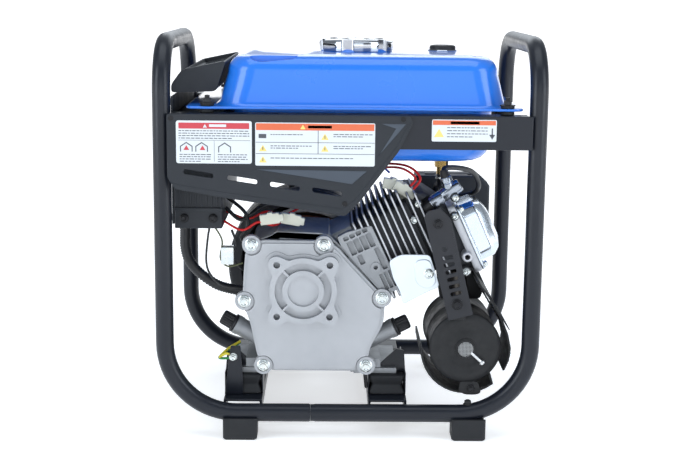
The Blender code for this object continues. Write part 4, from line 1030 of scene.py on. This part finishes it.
printed("label_two_header", [rounded_outline(box_shape(-111, 28, 383, 391), 0.6)], -170.33, -170.2,
        label_orange)
printed("label_two_print", [box_shape(-111.5, 28.5, 368.4, 369.0), box_shape(-111.5, 28.5, 355.0, 355.6),
                            box_shape(-38.4, -37.6, 355.6, 383), box_shape(-50, -22, 385.6, 388.8),
                            box_shape(-108, -99, 373.5, 378.5)]
        + text_bars(-94, -44, 378.4, 1) + text_bars(-94, -44, 365, 2) + text_bars(-20, 26, 379, 2)
        + text_bars(-20, 26, 365, 2) + text_bars(-94, 24, 350.6, 1), -170.33, -170.2, label_ink)
printed(
    "label_two_signs", [triangle(-103, 361.8, 4.6), triangle(-103, 348.4, 4.6), triangle(-30, 375.6, 4.6),
        triangle(-30, 361.8, 4.6), triangle(-56, 387.0, 3.2)], -170.36, -170.2, label_yellow)
printed(
    "label_two_dots", [box_shape(x - 0.5, x + 0.5, z - 2.2, z + 1.4) for x, z in ((-103, 361.8),
        (-103, 348.4), (-30, 375.6), (-30, 361.8))], -170.4, -170.3, label_ink)
printed("label_three_sheet", [rounded_outline(box_shape(96, 172.5, 371, 397), 2)], -166.6, -166.2,
        label_white)
printed("label_three_header", [box_shape(97, 171.5, 390.6, 396)], -166.68, -166.5, label_orange)
printed("label_three_sign", [triangle(104.5, 381, 6)], -166.7, -166.5, label_yellow)
printed(
    "label_three_print", text_bars(114, 162, 388, 4, 3.6) + [box_shape(118, 152, 391.6, 394.8),
        box_shape(166.6, 168.2, 378, 387), [(163.8, 379.5), (167.4, 373.6), (171, 379.5)],
        box_shape(104, 105, 378.6, 383.4)], -166.68, -166.5, label_ink)

# --- Console ------------------------------------------------------------------------------------
# Moulded hood over the control panel, sloping up towards the tank, with a shallow dished top and
# a rounded rim all the way round.
console_shape = [(-216, 422), (-216, 432), (-203, 449.5), (-150, 460.8), (-162, 424)]
hood = slab("console_hood", rounded_outline(console_shape, 5, 5), -119.8, 119.8)
dish = [(-198, 455.5), (-152, 465.5), (-154, 454.5), (-196, 445)]
boolean(hood, slab_bm(rounded_outline(dish, 3, 4), -108, 108), "DIFFERENCE")
soften(hood, 2.6, 4, 24)
settle(hood, moulded_grey, "black_plastic", "generator", "console")
for number in range(9):
    y = -96 + 24 * number
    settle(slab(f"console_rib_{number}", [(-192, 445.6), (-158, 453.2), (-158, 454.6), (-192, 447)],
                y - 1.2, y + 1.2, 0.4), moulded_grey, "black_plastic")

# --- Control box --------------------------------------------------------------------------------
# Moulded tray behind the panel, ribbed on its front wall, held to the uprights by hexagon bolts.
# The inverter inside it is an aluminium module, drawn as a plain block.
refined("control_box", moulded_grey, "black_plastic", 1.6, 3)
for number in range(8):
    x = -206 + 6.4 * number
    settle(slab(f"box_rib_{number}", rounded_outline(box_shape(x - 0.9, x + 0.9, 284, 322), 0.5), -129.3,
                -127.6, 0.3), moulded_grey, "black_plastic")
settle(slab("box_ledge", rounded_outline(box_shape(-213.5, -154.5, 279, 283), 1), -131, -127.6, 0.6),
       moulded_grey, "black_plastic")
BOX_FRONT = -127.9
for side_name, x in (("left", -201), ("right", -166)):
    flange_bolt(f"box_bolt_{side_name}", (x, BOX_FRONT, 270), (0, -1, 0), 8, phosphate, "black_paint")
refined("inverter", block_alloy, "grey_plastic", 0.6)

# --- Control panel ------------------------------------------------------------------------------
# Flat moulded panel on the end of the frame: twin outlet in a raised frame, two rocker switches,
# a round breaker button, three indicator lamps and a brass earth terminal. Marks are plain bars.
refined("control_panel", moulded_grey, "black_plastic", 0.9, 3)
switch_red = paint("switch_red", (0.50, 0.012, 0.010), (0.58, 0.018, 0.014), 0.32, grain=1500, depth=0.03)
pale_grey = paint("pale_grey", (0.20, 0.21, 0.22), (0.25, 0.26, 0.27), 0.44, grain=1500, depth=0.04)
refined("engine_switch", switch_red, "red_plastic", 0.8, 3)
refined("throttle_switch", pale_grey, "grey_plastic", 0.8, 3)
refined("outlet", hard_black, "grey_plastic", 0.9, 3)
settle(
    finish_mesh("breaker_cap", spun([(0.0, 0), (0.0, 3.9), (0.5, 4.9), (1.4, 5.35), (13.8, 5.35),
        (13.8, 0)], (-221.3, -10, 330), (1, 0, 0), 40), smooth=50), pale_grey, "grey_plastic",
    "breaker_button", "breaker_button")


def framed(name, y0, y1, z0, z1, rim, near, far, material, slot="black_plastic"):
    """A rounded frame standing proud of the panel."""
    bm = bmesh.new()
    rows = []
    for x, grow in ((far, 0), (near + 0.6, 0), (near, -0.6)):
        rows.append(
            [bm.verts.new((x * MM, y * MM, z * MM)) for y, z in rounded_outline(box_shape(y0 - rim - grow,
                y1 + rim + grow, z0 - rim - grow, z1 + rim + grow), 4, 5)])
    for x in (near, far):
        rows.append(
            [bm.verts.new((x * MM, y * MM, z * MM)) for y, z in rounded_outline(box_shape(y0, y1, z0, z1),
                2, 5)])
    rows.append(rows[0])
    for low, high in zip(rows, rows[1:]):
        for i in range(len(low)):
            j = (i + 1) % len(low)
            bm.faces.new((low[i], low[j], high[j], high[i]))
    bmesh.ops.recalc_face_normals(bm, faces=bm.faces)
    return settle(finish_mesh(name, bm), material, slot)


framed("outlet_frame", 24.4, 65.6, 299.4, 370.6, 4, -218.8, -216.4, pale_grey, "grey_plastic")
for name, z in (("engine", 352), ("throttle", 308)):
    framed(f"{name}_switch_frame", -57.6, -42.4, z - 12.6, z + 12.6, 3, -218.2, -216.4, hard_black)
turned("breaker_collar", [(0, 6.1), (0, 8.6), (1.6, 9.6), (1.8, 6.1)], (-218, -10, 330), (1, 0, 0),
       hard_black, "black_plastic", 40)
for number, y in enumerate((-62, -50, -38)):
    settle(
        finish_mesh(f"panel_lamp_{number}", spun([(0, 0), (0.3, 1.6), (1.2, 2.6), (2.6, 3), (2.6, 0)],
            (-218.6, y, 388), (1, 0, 0), 28), smooth=60), (switch_red, label_yellow, pale_grey)[number],
        "red_plastic")
terminal = hexagon((-216.3, 90, 290), (-1, 0, 0), 9, 4)
absorb(terminal, spun([(3, 0), (3, 2.5), (11, 2.5), (11.6, 1.9), (11.6, 0)], (-216.3, 90, 290), (-1, 0, 0),
                      24))
brass = paint("brass", (0.52, 0.33, 0.10), (0.60, 0.40, 0.14), 0.28, 1.0, grain=1200, depth=0.03, patches=60)
settle(finish_mesh("earth_terminal", terminal), brass, "brass")
for number, (y, z) in enumerate(((-118, 411), (118, 411), (-118, 269), (118, 269))):
    flange_bolt(f"panel_screw_{number}", (-216.3, y, z), (-1, 0, 0), 6, phosphate, "black_paint")
marks = bmesh.new()
for y0, y1, z0, z1 in ((-58, -42, 370, 372), (-58, -42, 326, 328), (-20, 0, 344, 346), (26, 64, 380, 382.4),
                       (84, 96, 302, 304), (82, 112, 396, 400), (82, 104, 390, 392)):
    bm = bmesh.new()
    bmesh.ops.create_cube(bm, size=1.0)
    bmesh.ops.transform(bm, matrix=Matrix.Translation((-0.21635, (y0 + y1) / 2 * MM, (z0 + z1) / 2 * MM))
                        @ Matrix.Diagonal((0.0003, (y1 - y0) * MM, (z1 - z0) * MM, 1)), verts=bm.verts)
    absorb(marks, bm)
settle(finish_mesh("panel_marks", marks), label_white, "grey_plastic")

# --- Wiring -------------------------------------------------------------------------------------
# The stator leads leave the crankcase in a black corrugated sleeve and rise into the control box.
# Thin loose wires, five pale connectors and a yellow and green earth wire run beside it.
loom_route = flowing([(-208, -60, 256.4), (-208, -60, 240), (-208, -60, 221), (-203, -60, 203),
                      (-190, -60, 187), (-169, -60, 172), (-150, -60, 166), (-130.5, -60, 163)], 12)
ribbed = [1.0 if i % 2 else 0.86 for i in range(len(loom_route))]
settle(tube("loom_sleeve", loom_route, 0.007, ribbed, 6), soft_black, "black_rubber", "generator",
       "wiring_loom")
wire_colours = {
    "black": soft_black,
    "red": paint("wire_red", (0.55, 0.012, 0.012), (0.62, 0.02, 0.02), 0.4, grain=900, depth=0.02),
    "blue": paint("wire_blue", (0.02, 0.06, 0.42), (0.03, 0.08, 0.48), 0.4, grain=900, depth=0.02),
    "yellow": paint("wire_yellow", (0.62, 0.52, 0.03), (0.68, 0.58, 0.06), 0.4, grain=900, depth=0.02),
    "green": paint("wire_green", (0.02, 0.22, 0.05), (0.03, 0.28, 0.08), 0.4, grain=900, depth=0.02),
    "olive": paint("wire_olive", (0.10, 0.11, 0.05), (0.14, 0.15, 0.08), 0.5, grain=900, depth=0.02)}
wires = (
    ("black", 1.4, [(-172, -105, 258), (-175, -106, 240), (-177, -106, 212), (-172, -104, 194),
        (-157, -102, 180), (-132, -100, 176)]), ("olive", 1.1, [(-168, -98, 256), (-158, -96, 236),
        (-160, -98, 214), (-150, -100, 204), (-132, -98, 208)]), ("red", 1.5, [(-156, -100, 262),
        (-132, -108, 252), (-112, -108, 262), (-92, -100, 257), (-74, -60, 262)]),
    ("red", 1.5, [(-156, -62, 268), (-128, -66, 259), (-104, -64, 268), (-84, -60, 262), (-64, -52, 270)]),
    ("black", 2.4, [(-154, -84, 276), (-136, -90, 262), (-120, -92, 270), (-100, -84, 280),
        (-60, -70, 276)]), ("black", 2.2, [(-154, -80, 290), (-130, -92, 272), (-126, -96, 254),
        (-134, -92, 240), (-128, -80, 226)]), ("black", 1.6, [(-146, -96, 250), (-140, -98, 232),
        (-144, -98, 214), (-134, -94, 200), (-128, -80, 194)]),
    ("blue", 1.4, [(52, -56, 318), (40, -50, 326), (20, -44, 322), (0, -30, 314), (-30, -20, 310)]),
    ("red", 1.5, [(76, -104, 308), (82, -102, 318), (66, -90, 328), (44, -52, 324), (10, -40, 318)]),
    ("red", 1.5, [(79, -104, 303), (88, -102, 318), (72, -88, 331), (40, -46, 328), (0, -36, 322)]),
    ("yellow", 1.6, [(-143, -117.5, 93), (-152, -121, 97), (-160, -118, 92), (-150, -108, 100),
        (-136, -96, 106)]), ("green", 1.6, [(-143, -117.5, 91), (-153, -118, 90), (-161, -114, 90),
        (-152, -104, 96), (-136, -92, 104)]))
for number, (colour, radius, points) in enumerate(wires):
    settle(tube(f"wire_{number}_{colour}", flowing(points, 10), radius * MM, resolution=4),
           wire_colours[colour], "black_rubber")
flange_bolt("earth_screw", (-143, -122.2, 93), (0, -1, 0), 7.5)
nylon = paint("connector_nylon", (0.66, 0.66, 0.56), (0.74, 0.74, 0.64), 0.45, grain=1100, depth=0.05)
for number, (
        x, y, z, lean) in enumerate(((68, -104, 303, 30), (56, -98, 309, 10), (72, -90, 292, 48),
            (-96, -104, 266, -8), (-70, -98, 264, 10))):
    turn = Matrix.Rotation(math.radians(lean), 4, "Y")
    body = [(-14, -6.5), (10, -6.5), (10, -4.5), (15, -4.5), (15, 4.5), (10, 4.5), (10, 6.5), (2, 6.5),
            (2, 8.3), (-4, 8.3), (-4, 6.5), (-14, 6.5)]
    bm = slab_bm(body, -5, 5)
    bmesh.ops.transform(bm, matrix=Matrix.Translation((x * MM, y * MM, z * MM)) @ turn, verts=bm.verts)
    settle(finish_mesh(f"connector_{number}", bm, 0.8, 2), nylon, "grey_plastic")
settle(
    finish_mesh("junction_block", slab_bm(rounded_outline(box_shape(-159, -143, 207, 229), 1.5), -104, -88),
        0.8), zinc, "zinc_steel")

# --- Engine brackets ----------------------------------------------------------------------------
# Pressed steel brackets, powder coated black, wrap the rubber blocks and take the engine's feet;
# one carries a small stop pin.
for side_name, centre, reach in (("left", -130, 24), ("right", 50, 24)):
    for end, y in (("front", -98), ("rear", -12)):
        for edge, low, high in (("inner", -1, -0.94), ("outer", 0.94, 1)):
            shape = [(centre + low * reach, 44.3), (centre + high * reach, 44.3), (centre + high * reach, 72),
                     (centre + low * reach, 72)]
            settle(slab(f"bracket_{side_name}_{end}_{edge}", shape, y - 19, y + 19, 0.5), powder_coat,
                   "black_paint")
    settle(
        slab(f"bracket_gusset_{side_name}", rounded_outline([(centre - 24, 69.2), (centre + 24, 69.2),
            (centre + 22, 97), (centre + 12, 99), (centre - 18, 70.5)]
            if side_name == "right" else [(centre - 24, 69.2), (centre + 24, 69.2), (centre + 20, 71),
            (centre - 10, 99), (centre - 22, 97)], 2), -101, -98.6, 0.5), powder_coat, "black_paint")
turned("stop_pin", [(0, 0), (0, 2.4), (17, 2.4), (18, 1.6), (18, 0)], (22.4, -116, 70), (0.1, 0, -1),
       phosphate, "black_paint", 20)
flange_bolt("floor_bolt", (149, -152.5, 43.0), (0, 0, 1), 8, phosphate, "black_paint")

# --- Fan housing and alternator -----------------------------------------------------------------
# Black moulded shroud on the back of the crankcase round the alternator: copper windings on a
# laminated core, and the magnet rotor that is keyed to the crankshaft and carries the fan.
dull_black = paint("shroud_black", (0.010, 0.011, 0.013), (0.017, 0.018, 0.021), 0.5, grain=1900, depth=0.06)
bare_steel = paint("bare_steel", (0.34, 0.34, 0.35), (0.44, 0.44, 0.45), 0.32, 1.0, grain=1500, depth=0.03,
                   patches=30)
winding = paint("winding_copper", (0.42, 0.14, 0.05), (0.52, 0.20, 0.08), 0.34, 0.9, grain=1700, depth=0.06,
                patches=80)
axle = (CRANK_X, 0, CRANK_Z)
shroud = finish_mesh(
    "fan_shroud", spun([(12, 86), (12, 100), (14, 103), (30, 103), (31, 101.8), (34, 101.8), (35, 103),
        (92, 103), (96.5, 101), (98, 98), (98, 62), (95, 62), (95, 97), (92, 100), (15, 100), (15, 86)],
        axle, (0, 1, 0), 128))
for number in range(16):
    turn = math.radians(22.5 * number + 11)
    bm = bmesh.new()
    bmesh.ops.create_cube(bm, size=1.0)
    bmesh.ops.transform(bm, matrix=Matrix.Diagonal((0.016, 0.034, 0.007, 1)), verts=bm.verts)
    spot = Matrix.Translation(
        Vector(axle) * MM + Vector((math.cos(turn), 0, math.sin(turn))) * 0.101 + Vector((0, 0.064, 0)))
    bmesh.ops.transform(bm, matrix=spot @ Matrix.Rotation(-turn, 4, "Y"), verts=bm.verts)
    boolean(shroud, bm, "DIFFERENCE")
soften(shroud, 0.5)
settle(shroud, dull_black, "black_plastic", "generator", "fan_housing")
for number in range(6):
    turn = math.radians(60 * number + 30)
    at = (CRANK_X + 92 * math.cos(turn), 98, CRANK_Z + 92 * math.sin(turn))
    flange_bolt(f"shroud_bolt_{number}", at, (0, 1, 0), 8)
refined("stator", winding, "copper", 0.5)
refined("rotor", bare_steel, "steel", 0.6)
refined("crankshaft", bare_steel, "steel", 0.5)
refined("piston", cast_alloy, "cast_alloy", 0.4)
for number in range(18):
    turn = math.radians(20 * number)
    out = Vector((math.cos(turn), 0, math.sin(turn)))
    spin_way = Vector((-math.sin(turn), 0, math.cos(turn)))
    bm = bmesh.new()
    foot_at = Vector(axle) + Vector((0, 80.4, 0)) + out * 40
    corners = [foot_at + out * a + spin_way * b for a, b in ((0, -1), (34, 9), (34, 10.6), (0, 1))]
    face = bm.faces.new([bm.verts.new(p * MM) for p in corners])
    grown = bmesh.ops.extrude_face_region(bm, geom=[face])["geom"]
    bmesh.ops.translate(bm, vec=(0, 0.0125, 0), verts=[p for p in grown if isinstance(p, bmesh.types.BMVert)])
    bmesh.ops.recalc_face_normals(bm, faces=bm.faces)
    settle(finish_mesh(f"fan_blade_{number}", bm, 0.3), dull_black, "steel", "crank")

# --- Recoil starter -----------------------------------------------------------------------------
# Pressed steel dish, painted black, with sloping air slots and a plain centre. The rope pulley
# turns inside it, and a black grip rests at its side. The rope itself is not drawn.
dish = finish_mesh(
    "recoil_dish", spun([(130, 0), (130, 56), (128.4, 60.5), (122, 74), (119, 77), (102, 79), (100, 79.6),
        (98.6, 80), (98.4, 76), (120, 72), (127, 58), (127, 0)], axle, (0, 1, 0), 112), smooth=50)
for number in range(12):
    turn = math.radians(30 * number)
    reach, half = 43, 11
    middle = Vector((CRANK_X + reach * math.cos(turn), CRANK_Z + reach * math.sin(turn)))
    lean = turn + math.radians(24)
    far = Vector((math.cos(lean), math.sin(lean)))
    wide = Vector((-far.y, far.x)) * 3.4
    ends = [tuple(middle - far * half - wide), tuple(middle + far * half - wide),
            tuple(middle + far * half + wide), tuple(middle - far * half + wide)]
    boolean(dish, slab_bm(rounded_outline(ends, 3, 5), 124, 134), "DIFFERENCE")
soften(dish, 0.6)
settle(dish, satin_black, "black_plastic", "generator", "recoil_housing")
for number in range(3):
    turn = math.radians(120 * number + 50)
    at = (CRANK_X + 71 * math.cos(turn), 124.4, CRANK_Z + 71 * math.sin(turn))
    flange_bolt(f"recoil_bolt_{number}", at, (0, 1, 0), 8)
turned("recoil_hub", [(101, 0), (101, 6.8), (128, 6.8), (128, 0)], axle, (0, 1, 0), bare_steel,
       "black_plastic")
refined("starter_pulley", pale_grey, "grey_plastic", 0.6)
grip_z = CRANK_Z + 44
handle = []
for x, half_y, half_z in ((24, 5, 17), (24.6, 6.6, 20.5), (26, 8.2, 23.6), (28.5, 9, 25), (33, 8.4, 24.8),
                          (38, 8.8, 25), (41, 8.4, 24), (43.2, 6.6, 20.6), (44, 4.6, 16)):
    ring = corner_ring(111 - half_y, 111 + half_y, half_z, min(6, half_y * 0.8), 0, 6)
    handle.append([(x * MM, px, grip_z * MM + py) for px, py, _ in ring])
settle(finish_mesh("grip_body", stacked(handle), smooth=60), rubber, "black_rubber", "grip", "starter_grip")
turned("grip_nose", [(0, 0), (0, 2.6), (0.8, 3.8), (4, 4.9), (7, 5), (7, 0)], (19, 111, grip_z), (1, 0, 0),
       rubber, "black_rubber", 36, "grip")
for number in range(5):
    bar = framed(f"grip_ridge_{number}", 104.6, 117.4, grip_z - 18.6 + 8.4 * number,
                 grip_z - 15 + 8.4 * number, 1.2, 43.9, 42, rubber, "black_rubber")
    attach(bar, "grip")

# --- Carburettor and air filter -----------------------------------------------------------------
# Die-cast carburettor with a round float bowl under it, a black choke lever on its side, and the
# moulded air filter box clipped on behind.
refined("carburettor", block_alloy, "cast_alloy", 1.0, 3)
turned("float_bowl", [(223.8, 0), (223.8, 8), (225, 11), (228, 12.3), (240, 12.3), (241, 13.4), (243, 13.4),
                      (243, 0)], (118, 24, 0), (0, 0, 1), bare_steel, "cast_alloy", 48)
settle(finish_mesh("bowl_nut", hexagon((118, 24, 223.9), (0, 0, -1), 9, 4)), zinc, "zinc_steel")
refined("choke_lever", hard_black, "black_plastic", 0.6, 3)
refined("air_filter_box", moulded_grey, "black_plastic", 4.0, 4)
settle(
    finish_mesh("filter_seam", stacked([[(x, y * MM, z) for x, _, z in [(px * MM, 0, pz * MM) for px,
        pz in rounded_outline([(91.4, 223.4), (192.6, 223.4), (192.6, 288.4), (178.4, 301.6),
        (91.4, 301.6)], 3, 4)]] for y in (64, 66.4)]), 0.5), moulded_grey, "black_plastic")
for number, x in enumerate((112, 170)):
    settle(slab(f"filter_clip_{number}", rounded_outline(box_shape(x - 7, x + 7, 298.5, 302.4), 1), 52, 78,
                0.6), hard_black, "black_plastic")

# --- Fuel tap and hose --------------------------------------------------------------------------
# Brass tap screwed under the tank, with a black lever, and a black rubber hose down to the
# carburettor held by wire clips.
refined("fuel_tap", brass, "brass", 0.8, 3)
settle(finish_mesh("tap_nut", hexagon((119, -20, 334.2), (0, 0, 1), 13, 5)), brass, "brass")
refined("fuel_tap_lever", hard_black, "black_plastic", 0.8, 3)
hose_points = [(119, -20, 311.7), (119, -20, 308), (119, -20, 303), (119, -10, 297), (118, 12, 293),
               (118, 23, 286), (118, 24, 280), (118, 24, 275.6)]
settle(tube("fuel_hose_run", flowing(hose_points, 10), 0.004), soft_black, "black_rubber", "generator",
       "fuel_hose")
for number, z in enumerate((307, 279)):
    y = -20 if number == 0 else 24
    turned(f"hose_clip_{number}", [(-1, 4), (-1, 4.7), (1, 4.7), (1, 4)], (118.5, y, z), (0, 0, 1), zinc,
           "zinc_steel")
